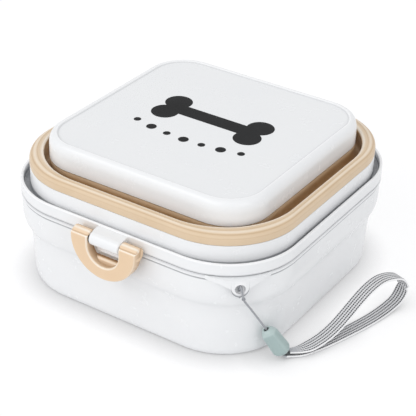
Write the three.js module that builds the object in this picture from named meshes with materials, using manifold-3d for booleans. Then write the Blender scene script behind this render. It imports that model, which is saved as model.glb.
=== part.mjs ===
// Collapsible pet bowl: a food tub with a folding silicone bowl as its hinged lid.
// Millimetres, +Z up, origin at the middle of the tub's foot. The latch faces -Y, the hinge +Y.
import * as THREE from 'three';
import { mergeVertices } from 'three/addons/utils/BufferGeometryUtils.js';
import Module from 'manifold-3d';

// Plan of the closed case: a square with round corners
const bandHalf = 75;
const bandCorner = 37.8;
const partingHeight = 48.2;
const partingGap = 0.3;
const seatGap = 0.3;
const overrun = 1;

// Food tub
const tubFootFillet = 5.4;
const tubFootInset = 4.95;
const tubFootCorner = 34.5;
const tubWaistInset = 3.5;
const tubWaistCorner = 36.3;
const tubWaistDrop = 20;
const tubCollarDrop = 9;
const tubCollarRelief = 0.45;
const tubFlangeThickness = 2;
const tubWall = 2.2;
const tubMouthWall = 2.8;
const tubFloor = 2.4;
const tubInnerFillet = 5;
const shoulderBulge = 5.6;

// Lid half of the case, which is the bowl's rim
const rimBandHeight = 6.1;
const rimLipThickness = 1.4;
const rimLipRound = 0.5;
const rimPlate = 2.1;
const rimWallInset = 3.2;
const rimWallCorner = 38;
const rimWall = 1.8;
const rimWallHeight = 12.9;
const plugDepth = 4.9;
const plugClearance = 0.7;
const plugWall = 1.8;
const plugChamfer = 0.6;
const sealWidth = 1.4;
const sealThickness = 1;
const sealGrooveDepth = 0.9;
const sealDrop = 2.3;

// Silicone wall, folded down between the rim and the bowl's bottom
const crestRise = 6.1;
const crestWidth = 4.9;
const crestFall = 2.6;
const crestArch = 2.4;
const crestSoftening = 0.6;
const crestLipCorner = 38.4;
const crestLipRound = 2;
const skinThickness = 1.6;
const slopeDrop = 7.5;
const slopeLean = 0.7;
const slopeCorner = 34;
const valleyWidth = 6.1;
const foldDepth = 10.1;
const cuffDrop = 2.4;
const cuffThickness = 1.2;

// Bottom of the bowl, which is the top of the closed case
const baseCorner = 21.5;
const baseRise = 10.4;
const baseShoulderDrop = 5.3;
const baseShoulderInset = 3.2;
const baseSkirtDepth = 6.2;
const footRimWidth = 0.9;
const footRimHeight = 0.7;
const baseWall = 1.8;
const baseInnerFillet = 4;

// Knuckles of the latch at the front and of the hinge at the back
const barrelRadius = 3.4;
const barrelGap = 1.2;
const knuckleGap = 0.3;
const latchAxisRise = 1.9;
const latchPinRadius = 1.2;
const hingeKnuckleHalf = 14;
const hingeReach = 25;
const hingePinRadius = 1.5;
const hingeWebDrop = 8;
const pinGap = 0.3;
const pinEndWall = 2;

// Latch
const latchHalf = 18.2;
const latchWindowHalf = 8.9;
const latchWindowDrop = 2.7;
const latchThickness = 5;
const latchEdge = 0.7;
const hookDepth = 3;
const hookFlat = 1.2;
const hookGap = 0.4;
const hookDrop = 2.6;
const catchHalf = 7.5;
const catchDrop = 4.6;
const catchGap = 0.5;
const catchRound = 0.8;

// Lanyard lug at the corner between the latch side and the +X side
const lugBearingDegrees = -48;
const lugProud = 3.3;
const lugThickness = 2.2;
const lugSpread = 15;
const lugNeckSpread = 7.6;
const lugNeckDrop = 3.3;
const lugEyeDrop = 4.6;
const lugEyeRadius = 4.1;
const lugHoleRadius = 2.5;

// Bead on the lanyard
const beadLength = 15.2;
const beadWidth = 7.8;
const beadDepth = 6.6;
const beadRound = 1.5;
const beadCornerRound = 0.4;
const beadTopShare = 0.74;
const beadBoreRadius = 0.9;
const beadBoreDepth = 6;
const beadTop = [71.0, -53.6, 16.4];
const beadFoot = [77.8, -48.8, 3.9];
const beadEdgeTowards = [0.792, 0.277, 0.544];

// Lanyard cord and wrist strap, as laid on the table beside the tub
const cordDiameter = 1.1;
const cordSteps = 44;
const strapWidth = 7.6;
const strapThickness = 1.2;
const strapRound = 0.35;
const strapSteps = 46;
const strapGatherLength = 11;
const strapGatherShare = 0.5;

// The cord starts under the eye, goes up behind it and through, and down its front to the bead
const cordEyeRoute = [
  [-0.3, 0.1, -5.05],
  [-1.45, 0.1, -5.0],
  [-1.95, 0.1, -4.1],
  [-1.88, 0.05, -2.2],
  [-1.75, 0.0, -0.7],
  [-1.1, 0.0, 0.8],
  [0.1, 0.05, 1.5],
  [1.35, 0.25, 1.0],
  [1.95, 0.55, -0.4],
  [1.98, 0.95, -2.3],
  [1.95, 1.35, -4.0],
  [1.8, 1.8, -5.6],
];
const cordSpanShares = [0.25, 0.5, 0.75];
const strapRoute = [
  [78.6, -49.3, 2.1],
  [79.1, -47.0, 1.35],
  [80.4, -44.3, 0.9],
  [82.5, -40.6, 0.75],
  [85.5, -34.6, 0.7],
  [88.8, -26.4, 0.7],
  [92.5, -15.1, 0.7],
  [95.7, -4.3, 0.7],
  [98.0, 5.2, 0.8],
  [99.8, 14.2, 1.5],
  [101.3, 20.1, 3.6],
  [102.0, 23.7, 7.4],
  [102.2, 24.2, 11.3],
  [101.2, 21.3, 15.9],
  [99.1, 14.9, 19.0],
  [96.9, 8.1, 19.9],
  [95.1, 0.8, 18.5],
  [93.3, -6.6, 14.9],
  [91.6, -13.1, 10.7],
  [90.0, -19.7, 7.0],
  [88.5, -25.9, 4.7],
  [86.9, -32.1, 3.5],
  [84.6, -38.7, 2.9],
  [81.6, -43.3, 2.75],
  [79.4, -45.8, 2.9],
];

const weldDistance = 1e-4;
const cornerSteps = 12;
const arcSteps = 24;

const materials = {
  whiteShell: new THREE.MeshStandardMaterial({ color: 0xf2f3f4, roughness: 0.42, metalness: 0 }),
  beigeSilicone: new THREE.MeshStandardMaterial({ color: 0xe3c8a2, roughness: 0.62, metalness: 0 }),
  beigeLatch: new THREE.MeshStandardMaterial({ color: 0xe8caa4, roughness: 0.36, metalness: 0 }),
  steelPin: new THREE.MeshStandardMaterial({ color: 0xb9bcc0, roughness: 0.3, metalness: 1 }),
  greySeal: new THREE.MeshStandardMaterial({ color: 0xd9dadb, roughness: 0.7, metalness: 0 }),
  greyCord: new THREE.MeshStandardMaterial({ color: 0x8f9195, roughness: 0.85, metalness: 0 }),
  sageBead: new THREE.MeshStandardMaterial({ color: 0xa9bdba, roughness: 0.4, metalness: 0 }),
  greyWebbing: new THREE.MeshStandardMaterial({ color: 0xa7a8ac, roughness: 0.9, metalness: 0 }),
};

const wasm = await Module();
wasm.setup();

// Closed three.js geometry to a solid that can be joined and cut
function toSolid(geometry) {
  const bare = geometry.clone();
  bare.deleteAttribute('normal');
  bare.deleteAttribute('uv');
  const merged = mergeVertices(bare, weldDistance);
  return new wasm.Manifold(new wasm.Mesh({
    numProp: 3,
    vertProperties: new Float32Array(merged.attributes.position.array),
    triVerts: new Uint32Array(merged.index.array),
  }));
}

// Solid back to a three.js geometry
function toGeometry(solid) {
  const mesh = solid.getMesh();
  const geometry = new THREE.BufferGeometry();
  geometry.setAttribute('position', new THREE.BufferAttribute(new Float32Array(mesh.vertProperties), 3));
  geometry.setIndex(new THREE.BufferAttribute(new Uint32Array(mesh.triVerts), 1));
  geometry.computeVertexNormals();
  return geometry;
}

// One station of a loft: a square outline with round corners at a height
function station(half, corner, z) {
  return { half, corner, z };
}

// A station moved inwards all round, at its own height or another
function inset(outline, distance, z = outline.z) {
  return station(outline.half - distance, outline.corner - distance, z);
}

// Stations along a curve from one outline to another, drawn towards a third, without the first
function bend(from, towards, to, steps) {
  const stations = [];
  for (let i = 1; i <= steps; i += 1) {
    const t = i / steps;
    const shares = [(1 - t) * (1 - t), 2 * t * (1 - t), t * t];
    const mixed = (key) => shares[0] * from[key] + shares[1] * towards[key] + shares[2] * to[key];
    stations.push(station(mixed('half'), mixed('corner'), mixed('z')));
  }
  return stations;
}

function outlinePoints(outline) {
  const points = [];
  const reach = outline.half - outline.corner;
  for (let quarter = 0; quarter < 4; quarter += 1) {
    const middle = (quarter + 0.5) * Math.PI / 2;
    const x = Math.sign(Math.cos(middle)) * reach;
    const y = Math.sign(Math.sin(middle)) * reach;
    for (let i = 0; i <= cornerSteps; i += 1) {
      const angle = (quarter + i / cornerSteps) * Math.PI / 2;
      points.push([
        x + outline.corner * Math.cos(angle),
        y + outline.corner * Math.sin(angle),
        outline.z,
      ]);
    }
  }
  return points;
}

// Skin over a row of stations. A ring closes on its first station, and otherwise both ends are capped
function loft(stations, isRing) {
  const perLoop = 4 * (cornerSteps + 1);
  const positions = [];
  const index = [];
  for (const outline of stations) positions.push(...outlinePoints(outline).flat());
  const bands = isRing ? stations.length : stations.length - 1;
  for (let band = 0; band < bands; band += 1) {
    const near = band * perLoop;
    const far = ((band + 1) % stations.length) * perLoop;
    for (let i = 0; i < perLoop; i += 1) {
      const next = (i + 1) % perLoop;
      index.push(near + i, near + next, far + i);
      index.push(near + next, far + next, far + i);
    }
  }
  if (!isRing) {
    const first = positions.length / 3;
    const last = first + 1;
    const lastLoop = (stations.length - 1) * perLoop;
    positions.push(0, 0, stations[0].z, 0, 0, stations[stations.length - 1].z);
    for (let i = 0; i < perLoop; i += 1) {
      const next = (i + 1) % perLoop;
      index.push(first, next, i);
      index.push(last, lastLoop + i, lastLoop + next);
    }
  }
  const geometry = new THREE.BufferGeometry();
  geometry.setAttribute('position', new THREE.Float32BufferAttribute(positions, 3));
  geometry.setIndex(index);
  return geometry;
}

// A round bar or bore along X, between two places on it
function barAlongX(radius, fromX, toX, y, z) {
  const bar = new THREE.CylinderGeometry(radius, radius, toX - fromX, arcSteps);
  bar.rotateZ(Math.PI / 2);
  bar.translate((fromX + toX) / 2, y, z);
  return toSolid(bar);
}

// A flat outline of [y, z] points, pushed along X
function plateAlongX(points, fromX, toX) {
  const shape = new THREE.Shape(points.map(([y, z]) => new THREE.Vector2(y, z)));
  const plate = new THREE.ExtrudeGeometry(shape, { depth: toX - fromX, bevelEnabled: false });
  plate.applyMatrix4(new THREE.Matrix4().set(0, 0, 1, fromX, 1, 0, 0, 0, 0, 1, 0, 0, 0, 0, 0, 1));
  return toSolid(plate);
}

// A shape drawn in X and Z, pushed towards -Y from a given place
function plateTowardsFront(shape, backY, options) {
  const plate = new THREE.ExtrudeGeometry(shape, options);
  plate.rotateX(Math.PI / 2);
  plate.translate(0, backY, 0);
  return toSolid(plate);
}

// Places that more than one piece is built to
const collarHeight = partingHeight - tubCollarDrop;
const collar = station(bandHalf - tubCollarRelief, bandCorner - tubCollarRelief, collarHeight);
const waist = station(bandHalf - tubWaistInset, tubWaistCorner, partingHeight - tubWaistDrop);
const tubFlange = station(bandHalf, bandCorner, partingHeight);
const tubMouth = inset(tubFlange, tubMouthWall);
const rimFoot = partingHeight + partingGap;
const rimTop = rimFoot + rimBandHeight;
const rimWallTop = rimFoot + rimWallHeight;
const rimOuterWall = station(bandHalf - rimWallInset, rimWallCorner, rimWallTop);
const crestHeight = rimWallTop + crestRise;
const crest = inset(rimOuterWall, 0, crestHeight);
const baseTopHeight = crestHeight + baseRise;
const slopeHalf = crest.half - crestWidth - slopeLean;
const base = station(slopeHalf - valleyWidth, baseCorner, baseTopHeight - baseShoulderDrop);
const cuff = inset(base, 0, crestHeight - cuffDrop);
const barrelOffset = bandHalf + barrelGap + barrelRadius;
const hingeAxisHeight = partingHeight + partingGap / 2;
const latchAxisHeight = partingHeight + latchAxisRise;
const latchKnuckleHalf = latchWindowHalf - knuckleGap;
const latchBackY = -barrelOffset - barrelRadius + latchThickness;
const latchWindowHeight = latchAxisHeight - latchWindowDrop;
const catchTop = partingHeight - tubFlangeThickness;
const hookTop = catchTop - catchDrop - hookGap;
const lugNeckHeight = partingHeight - lugNeckDrop;
const lugEyeHeight = partingHeight - lugEyeDrop;
const hingeOuterReach = hingeReach + pinEndWall;

function tubBody() {
  const footWall = station(bandHalf - tubFootInset, tubFootCorner, tubFootFillet);
  const foot = inset(footWall, tubFootFillet, 0);
  const footEdge = inset(footWall, 0, 0);
  const shoulderTowards = inset(collar, 0, collarHeight - shoulderBulge);
  const flangeFoot = inset(tubFlange, 0, partingHeight - tubFlangeThickness);
  const underFlange = inset(tubFlange, tubCollarRelief, flangeFoot.z - tubCollarRelief);
  const mouthFoot = inset(tubMouth, 0, collar.z);
  const innerTowards = inset(tubMouth, 0, shoulderTowards.z);
  const innerWaist = inset(waist, tubWall);
  const innerFoot = inset(footWall, tubWall, tubFloor + tubInnerFillet);
  const floorEdge = inset(innerFoot, tubInnerFillet, tubFloor);
  return toSolid(loft([
    foot,
    ...bend(foot, footEdge, footWall, 5),
    waist,
    ...bend(waist, shoulderTowards, collar, 6),
    underFlange,
    flangeFoot,
    tubFlange,
    tubMouth,
    mouthFoot,
    ...bend(mouthFoot, innerTowards, innerWaist, 4),
    innerFoot,
    ...bend(innerFoot, inset(innerFoot, 0, tubFloor), floorEdge, 4),
  ], false));
}

// Outer knuckles of the hinge, on webs that rise from the back of the collar
function tubHinge() {
  const parts = [];
  for (const side of [-1, 1]) {
    const ends = [side * (hingeKnuckleHalf + knuckleGap), side * hingeOuterReach].sort((a, b) => a - b);
    const web = [
      [tubMouth.half, partingHeight - hingeWebDrop - tubMouthWall],
      [tubMouth.half + tubMouthWall, partingHeight - hingeWebDrop],
      [barrelOffset + barrelRadius * Math.SQRT1_2, hingeAxisHeight - barrelRadius * Math.SQRT1_2],
      [barrelOffset, partingHeight - partingGap],
      [tubMouth.half, partingHeight - partingGap],
    ];
    parts.push(plateAlongX(web, ends[0], ends[1]));
    parts.push(barAlongX(barrelRadius, ends[0], ends[1], barrelOffset, hingeAxisHeight));
  }
  return parts;
}

// Ledge that the latch's hook snaps under
function tubCatch() {
  const backY = -bandHalf + tubMouthWall - overrun;
  const frontY = latchBackY + catchGap;
  const slope = -bandHalf - frontY;
  const ledge = [
    [backY, catchTop - catchDrop - slope],
    [backY, catchTop],
    [-bandHalf, catchTop],
    [frontY, catchTop - slope],
    [frontY, catchTop - catchDrop + catchRound],
    [frontY + catchRound, catchTop - catchDrop],
    [-bandHalf + tubCollarRelief, catchTop - catchDrop],
  ];
  return plateAlongX(ledge, -catchHalf, catchHalf);
}

// Lug at the corner: the flange widens down into an eye for the cord
function tubLug() {
  const bearing = THREE.MathUtils.degToRad(lugBearingDegrees);
  const outer = bandCorner + lugProud;
  const flangeFoot = partingHeight - tubFlangeThickness;
  const sag = outer - Math.sqrt(bandCorner * bandCorner - lugSpread * lugSpread);
  const faceRadius = (lugSpread * lugSpread + sag * sag) / (2 * sag);
  const faceCentre = outer - faceRadius;

  // Bell outline across the corner, with the eye at its foot
  const bell = new THREE.Shape();
  bell.moveTo(-lugSpread, partingHeight);
  bell.lineTo(-lugSpread, flangeFoot);
  bell.bezierCurveTo(-lugNeckSpread, flangeFoot, -lugNeckSpread, lugNeckHeight, -lugEyeRadius, lugEyeHeight);
  bell.absarc(0, lugEyeHeight, lugEyeRadius, Math.PI, 2 * Math.PI, false);
  bell.bezierCurveTo(lugNeckSpread, lugNeckHeight, lugNeckSpread, flangeFoot, lugSpread, flangeFoot);
  bell.lineTo(lugSpread, partingHeight);
  const stock = new THREE.ExtrudeGeometry(bell, {
    depth: outer + overrun,
    bevelEnabled: false,
    curveSegments: 8,
  });
  stock.applyMatrix4(new THREE.Matrix4().set(0, 0, 1, 0, 1, 0, 0, 0, 0, 1, 0, 0, 0, 0, 0, 1));

  // Curved plate that the bell is cut from, and the shelf that carries it
  const plateFoot = lugEyeHeight - lugEyeRadius - overrun;
  const plate = ringAt(faceCentre, faceRadius - lugThickness, faceRadius, plateFoot, partingHeight);
  const shelf = ringAt(faceCentre, faceRadius / 2, faceRadius, flangeFoot, partingHeight);
  const hole = new THREE.CylinderGeometry(lugHoleRadius, lugHoleRadius, lugProud + lugThickness, arcSteps);
  hole.rotateZ(Math.PI / 2);
  hole.translate(outer, 0, lugEyeHeight);

  const lug = toSolid(stock).intersect(plate.add(shelf)).subtract(toSolid(hole));
  const cornerCentre = bandHalf - bandCorner;
  return lug
    .rotate([0, 0, THREE.MathUtils.radToDeg(bearing)])
    .translate([cornerCentre, -cornerCentre, 0]);
}

// A ring round an upright axis on the X axis
function ringAt(x, innerRadius, outerRadius, fromZ, toZ) {
  const section = [
    new THREE.Vector2(innerRadius, fromZ),
    new THREE.Vector2(outerRadius, fromZ),
    new THREE.Vector2(outerRadius, toZ),
    new THREE.Vector2(innerRadius, toZ),
    new THREE.Vector2(innerRadius, fromZ),
  ];
  const ring = new THREE.LatheGeometry(section, 4 * arcSteps);
  ring.rotateX(Math.PI / 2);
  ring.translate(x, 0, 0);
  return toSolid(ring);
}

function foodTub() {
  const pinBore = hingePinRadius + pinGap;
  const bore = barAlongX(pinBore, -hingeOuterReach - overrun, hingeReach, barrelOffset, hingeAxisHeight);
  const cavity = cavitySolid();
  let tub = tubBody();
  for (const part of [...tubHinge(), tubCatch(), tubLug()]) tub = tub.add(part.subtract(cavity));
  return tub.subtract(bore);
}

// Room inside the tub's mouth, kept clear of what is joined on outside
function cavitySolid() {
  const below = inset(tubMouth, 0, collar.z - hingeWebDrop);
  const above = inset(tubMouth, 0, partingHeight + overrun);
  return toSolid(loft([below, above], false));
}

function rimBody() {
  const band = station(bandHalf, bandCorner, rimFoot);
  const bandTop = inset(band, 0, rimTop - rimLipRound);
  const lipInside = inset(band, rimLipThickness, rimTop - rimLipRound);
  const moatOuter = inset(band, rimLipThickness, rimFoot + rimPlate);
  const moatInner = inset(rimOuterWall, 0, rimFoot + rimPlate);
  const wallInside = inset(rimOuterWall, rimWall);
  const plug = inset(tubMouth, plugClearance, rimFoot);
  const plugFoot = rimFoot - plugDepth;
  const grooveTop = rimFoot - sealDrop;
  const grooveFoot = grooveTop - sealWidth - 2 * seatGap;
  const plugInside = inset(plug, plugWall, plugFoot);
  return toSolid(loft([
    band,
    bandTop,
    inset(band, rimLipRound, rimTop),
    inset(band, rimLipThickness - rimLipRound, rimTop),
    lipInside,
    moatOuter,
    moatInner,
    rimOuterWall,
    wallInside,
    inset(wallInside, 0, rimFoot + rimPlate),
    inset(plugInside, 0, rimFoot),
    plugInside,
    inset(plug, plugChamfer, plugFoot),
    inset(plug, 0, plugFoot + plugChamfer),
    inset(plug, 0, grooveFoot),
    inset(plug, sealGrooveDepth, grooveFoot),
    inset(plug, sealGrooveDepth, grooveTop),
    inset(plug, 0, grooveTop),
    plug,
  ], true));
}

// Knuckle on a web that reaches from the rim's band to a barrel, which is on one side or the other
function rimKnuckle(side, halfLength, axisZ) {
  const barrelY = side * barrelOffset;
  const inY = side * (bandHalf - rimLipThickness);
  const webTop = Math.min(rimTop - rimLipRound, axisZ + barrelRadius);
  const web = [
    [inY, rimFoot + partingGap],
    [side * bandHalf, rimFoot + partingGap],
    [barrelY, axisZ],
    [barrelY, axisZ + barrelRadius],
    [side * bandHalf, rimTop - rimLipRound],
    [inY, webTop],
  ];
  const ordered = side > 0 ? web : web.slice().reverse();
  return plateAlongX(ordered, -halfLength, halfLength)
    .add(barAlongX(barrelRadius, -halfLength, halfLength, barrelY, axisZ));
}

function bowlRim() {
  const latchBore = latchPinRadius + pinGap;
  const hingeBore = hingePinRadius + pinGap;
  return rimBody()
    .add(rimKnuckle(-1, latchKnuckleHalf, latchAxisHeight))
    .add(rimKnuckle(1, hingeKnuckleHalf, hingeAxisHeight))
    .subtract(barAlongX(latchBore, -latchHalf, latchHalf, -barrelOffset, latchAxisHeight))
    .subtract(barAlongX(hingeBore, -hingeReach, hingeReach, barrelOffset, hingeAxisHeight));
}

function sealRing() {
  const plug = inset(tubMouth, plugClearance, rimFoot);
  const inner = sealGrooveDepth - seatGap;
  const top = rimFoot - sealDrop - seatGap;
  const foot = top - sealWidth;
  return loft([
    inset(plug, inner, foot),
    inset(plug, inner - sealThickness, foot),
    inset(plug, inner - sealThickness, top),
    inset(plug, inner, top),
  ], true);
}

// Silicone wall folded once: up over the crest, down into the valley, up to the cuff round the base
function foldWall() {
  const foot = inset(rimOuterWall, 0, rimWallTop + seatGap);
  const side = inset(crest, 0, crestHeight - crestFall);
  const crestTop = inset(crest, crestArch);
  const lipTowards = station(crest.half - crestWidth, crestLipCorner, crestHeight);
  const lip = inset(lipTowards, 0, crestHeight - crestLipRound);
  const slopeFoot = station(slopeHalf, slopeCorner, crestHeight - slopeDrop);
  const cuffFoot = inset(cuff, 0, slopeFoot.z);
  const cuffInner = inset(cuff, cuffThickness);
  const underCuff = inset(cuffInner, 0, slopeFoot.z);
  const valleyHalf = (slopeFoot.half + cuffFoot.half) / 2;
  const valleyCorner = (slopeFoot.corner + cuffFoot.corner) / 2;
  const valleyDraw = 2 * (crestHeight - foldDepth) - slopeFoot.z;
  const valley = station(valleyHalf, valleyCorner, valleyDraw);
  const underValley = inset(valley, 0, valleyDraw - 2 * skinThickness);
  const underSlope = inset(slopeFoot, -skinThickness);
  const underLip = inset(lip, -skinThickness);
  return loft([
    foot,
    side,
    ...bend(side, inset(crest, 0, crestHeight - crestSoftening), crestTop, 4),
    ...bend(crestTop, lipTowards, lip, 4),
    slopeFoot,
    ...bend(slopeFoot, valley, cuffFoot, 6),
    cuff,
    cuffInner,
    underCuff,
    ...bend(underCuff, underValley, underSlope, 6),
    underLip,
    inset(crest, rimWall, underLip.z),
    inset(foot, rimWall),
  ], true);
}

// Bottom of the bowl, stepped in below its ledge by the cuff's thickness
function bowlBase() {
  const ceiling = baseTopHeight - footRimHeight - baseWall;
  const innerWall = inset(base, baseWall, ceiling - baseInnerFillet);
  const innerEdge = inset(innerWall, baseInnerFillet, ceiling);
  const ledge = inset(cuff, 0, cuff.z + seatGap);
  const step = cuffThickness + seatGap;
  const skirt = inset(ledge, step, ledge.z - baseSkirtDepth);
  const footOuter = inset(base, baseShoulderInset, baseTopHeight);
  const footInner = inset(footOuter, footRimWidth);
  return loft([
    innerEdge,
    ...bend(innerEdge, inset(innerWall, 0, ceiling), innerWall, 4),
    inset(ledge, baseWall, ledge.z + baseWall + step),
    inset(ledge, baseWall + step, ledge.z + baseWall),
    inset(skirt, baseWall),
    skirt,
    inset(ledge, step),
    ledge,
    base,
    ...bend(base, inset(base, 0, baseTopHeight), footOuter, 6),
    footInner,
    inset(footInner, footRimHeight / 2, baseTopHeight - footRimHeight),
  ], false);
}

// U of the latch, drawn from the front: a half disc with a round window open to the knuckle
function latchOutline() {
  const outline = new THREE.Shape();
  const windowZ = latchWindowHeight;
  outline.moveTo(-latchHalf, latchAxisHeight);
  outline.absarc(0, latchAxisHeight, latchHalf, Math.PI, 2 * Math.PI, false);
  outline.lineTo(latchWindowHalf, latchAxisHeight);
  outline.lineTo(latchWindowHalf, windowZ);
  outline.absarc(0, windowZ, latchWindowHalf, 0, -Math.PI, true);
  outline.lineTo(-latchWindowHalf, latchAxisHeight);
  return outline;
}

// Rounded rib across the foot of the window, at the back, that snaps under the tub's ledge
function latchHook() {
  const frontY = latchBackY - hookDepth;
  const rib = [
    [latchBackY, latchWindowHeight - latchWindowHalf - latchEdge],
    [latchBackY, hookTop],
    [latchBackY - hookFlat, hookTop],
    [(latchBackY - hookFlat + 2 * frontY) / 3, hookTop - hookDrop / 3],
    [frontY, hookTop - hookDrop],
    [frontY, latchWindowHeight - latchWindowHalf - latchEdge],
  ];
  const window = new THREE.CylinderGeometry(
    latchWindowHalf + latchEdge,
    latchWindowHalf + latchEdge,
    2 * latchThickness,
    2 * arcSteps,
  );
  window.translate(0, latchBackY - latchThickness / 2, latchWindowHeight);
  return plateAlongX(rib.reverse(), -latchWindowHalf, latchWindowHalf).intersect(toSolid(window));
}

function latchBody() {
  const plate = plateTowardsFront(latchOutline(), latchBackY - latchEdge, {
    depth: latchThickness - 2 * latchEdge,
    bevelEnabled: true,
    bevelThickness: latchEdge,
    bevelSize: latchEdge,
    bevelOffset: -latchEdge,
    bevelSegments: 2,
    curveSegments: arcSteps / 2,
  });
  const knuckleFrom = latchKnuckleHalf + knuckleGap;
  let body = plate.add(latchHook());
  for (const ends of [[-latchHalf, -knuckleFrom], [knuckleFrom, latchHalf]]) {
    body = body.add(barAlongX(barrelRadius, ends[0], ends[1], -barrelOffset, latchAxisHeight));
  }
  const bore = barAlongX(
    latchPinRadius + pinGap,
    -latchHalf - overrun,
    latchHalf - pinEndWall,
    -barrelOffset,
    latchAxisHeight,
  );
  return body.subtract(bore);
}

function pin(radius, fromX, toX) {
  const bar = new THREE.CylinderGeometry(radius, radius, toX - fromX, arcSteps);
  bar.rotateZ(Math.PI / 2);
  bar.translate((fromX + toX) / 2, 0, 0);
  return bar;
}

function roundedRectangle(halfX, halfY, radius) {
  const x = halfX - radius;
  const y = halfY - radius;
  const outline = new THREE.Shape();
  outline.absarc(x, y, radius, 0, Math.PI / 2, false);
  outline.absarc(-x, y, radius, Math.PI / 2, Math.PI, false);
  outline.absarc(-x, -y, radius, Math.PI, 3 * Math.PI / 2, false);
  outline.absarc(x, -y, radius, 3 * Math.PI / 2, 2 * Math.PI, false);
  return outline;
}

// A bead with round edges that narrows to its top, bored from there, standing on its foot
function beadGeometry() {
  const x = beadWidth / 2 - beadRound;
  const y = beadDepth / 2 - beadRound;
  const section = roundedRectangle(x, y, beadCornerRound);
  const body = new THREE.ExtrudeGeometry(section, {
    depth: beadLength - 2 * beadRound,
    steps: 2,
    bevelEnabled: true,
    bevelThickness: beadRound,
    bevelSize: beadRound,
    bevelSegments: 3,
    curveSegments: 3,
  });
  body.translate(0, 0, beadRound);
  const corners = body.attributes.position;
  for (let i = 0; i < corners.count; i += 1) {
    const share = 1 - (1 - beadTopShare) * corners.getZ(i) / beadLength;
    corners.setXY(i, corners.getX(i) * share, corners.getY(i) * share);
  }
  const boreLength = beadBoreDepth + overrun;
  const bore = new THREE.CylinderGeometry(beadBoreRadius, beadBoreRadius, boreLength, arcSteps / 2);
  bore.rotateX(Math.PI / 2);
  bore.translate(0, 0, beadLength - (beadBoreDepth - overrun) / 2);
  return toGeometry(toSolid(body).subtract(toSolid(bore)));
}

// Lug frame: out from the corner, along it, and up, at the middle of the eye
function lugPoint([out, along, up]) {
  const bearing = THREE.MathUtils.degToRad(lugBearingDegrees);
  const radius = bandCorner + lugProud - lugThickness / 2 + out;
  const cornerCentre = bandHalf - bandCorner;
  return new THREE.Vector3(
    cornerCentre + radius * Math.cos(bearing) - along * Math.sin(bearing),
    -cornerCentre + radius * Math.sin(bearing) + along * Math.cos(bearing),
    lugEyeHeight + up,
  );
}

function lanyardCord() {
  const top = new THREE.Vector3(...beadTop);
  const down = new THREE.Vector3(...beadFoot).sub(top).normalize();
  const seat = beadBoreDepth - cordDiameter;
  const route = cordEyeRoute.map(lugPoint);
  const lowest = route[route.length - 1];
  for (const share of cordSpanShares) route.push(lowest.clone().lerp(top, share));
  route.push(top, top.clone().addScaledVector(down, seat));
  return tubeAlong(route, circleShape(cordDiameter / 2), cordSteps);
}

function circleShape(radius) {
  const circle = new THREE.Shape();
  for (let i = 0; i < 8; i += 1) {
    const angle = i * Math.PI / 4;
    const move = i === 0 ? 'moveTo' : 'lineTo';
    circle[move](radius * Math.cos(angle), radius * Math.sin(angle));
  }
  return circle;
}

function tubeAlong(points, section, steps) {
  const path = new THREE.CatmullRomCurve3(points, false, 'centripetal');
  return new THREE.ExtrudeGeometry(section, { steps, extrudePath: path, bevelEnabled: false });
}

// Webbing folded back on itself: a flat tube whose width stays level without turning over,
// gathered at both ends
function wristStrap() {
  const points = strapRoute.map((point) => new THREE.Vector3(...point));
  const route = new THREE.CatmullRomCurve3(points, false, 'centripetal');
  const length = route.getLength();
  const across = strapThickness / 2;
  const corners = [
    [across - strapRound, 1],
    [across, 1 - strapRound / strapWidth],
    [across, strapRound / strapWidth - 1],
    [across - strapRound, -1],
    [strapRound - across, -1],
    [-across, strapRound / strapWidth - 1],
    [-across, 1 - strapRound / strapWidth],
    [strapRound - across, 1],
  ];
  const positions = [];
  const index = [];
  let widthWay = null;
  for (let step = 0; step <= strapSteps; step += 1) {
    const along = step / strapSteps;
    const fromEnd = Math.min(along, 1 - along) * length;
    const gather = THREE.MathUtils.smoothstep(fromEnd, 0, strapGatherLength);
    const halfWidth = strapWidth / 2 * THREE.MathUtils.lerp(strapGatherShare, 1, gather);
    const place = route.getPointAt(along);
    const tangent = route.getTangentAt(along);
    const level = new THREE.Vector3(0, 0, 1).cross(tangent).normalize();
    if (widthWay && level.dot(widthWay) < 0) {
      level.negate();
    }
    widthWay = level;
    const face = tangent.clone().cross(level);
    for (const [out, share] of corners) {
      const corner = place.clone().addScaledVector(face, out).addScaledVector(level, share * halfWidth);
      positions.push(corner.x, corner.y, corner.z);
    }
  }
  const count = corners.length;
  for (let step = 0; step < strapSteps; step += 1) {
    for (let i = 0; i < count; i += 1) {
      const near = step * count + i;
      const next = step * count + (i + 1) % count;
      index.push(near, next, near + count, next, next + count, near + count);
    }
  }
  const last = strapSteps * count;
  for (let i = 1; i < count - 1; i += 1) {
    index.push(0, i + 1, i);
    index.push(last, last + i, last + i + 1);
  }
  const geometry = new THREE.BufferGeometry();
  geometry.setAttribute('position', new THREE.Float32BufferAttribute(positions, 3));
  geometry.setIndex(index);
  geometry.computeVertexNormals();
  return geometry;
}

function piece(name, geometry, material) {
  const mesh = new THREE.Mesh(geometry, material);
  mesh.name = name;
  return mesh;
}

const petBowl = new THREE.Group();

const tubGroup = new THREE.Group();
tubGroup.add(piece('food_tub', toGeometry(foodTub()), materials.whiteShell));
const hingePinShape = pin(hingePinRadius, pinGap - hingeOuterReach, hingeReach - pinGap);
const hingePin = piece('hinge_pin', hingePinShape, materials.steelPin);
hingePin.position.set(0, barrelOffset, hingeAxisHeight);
tubGroup.add(hingePin);
petBowl.add(tubGroup);

const lidGroup = new THREE.Group();
lidGroup.add(piece('bowl_rim', toGeometry(bowlRim()), materials.whiteShell));
lidGroup.add(piece('seal_ring', sealRing(), materials.greySeal));
lidGroup.add(piece('fold_wall', foldWall(), materials.beigeSilicone));
lidGroup.add(piece('bowl_base', bowlBase(), materials.whiteShell));
petBowl.add(lidGroup);

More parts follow.
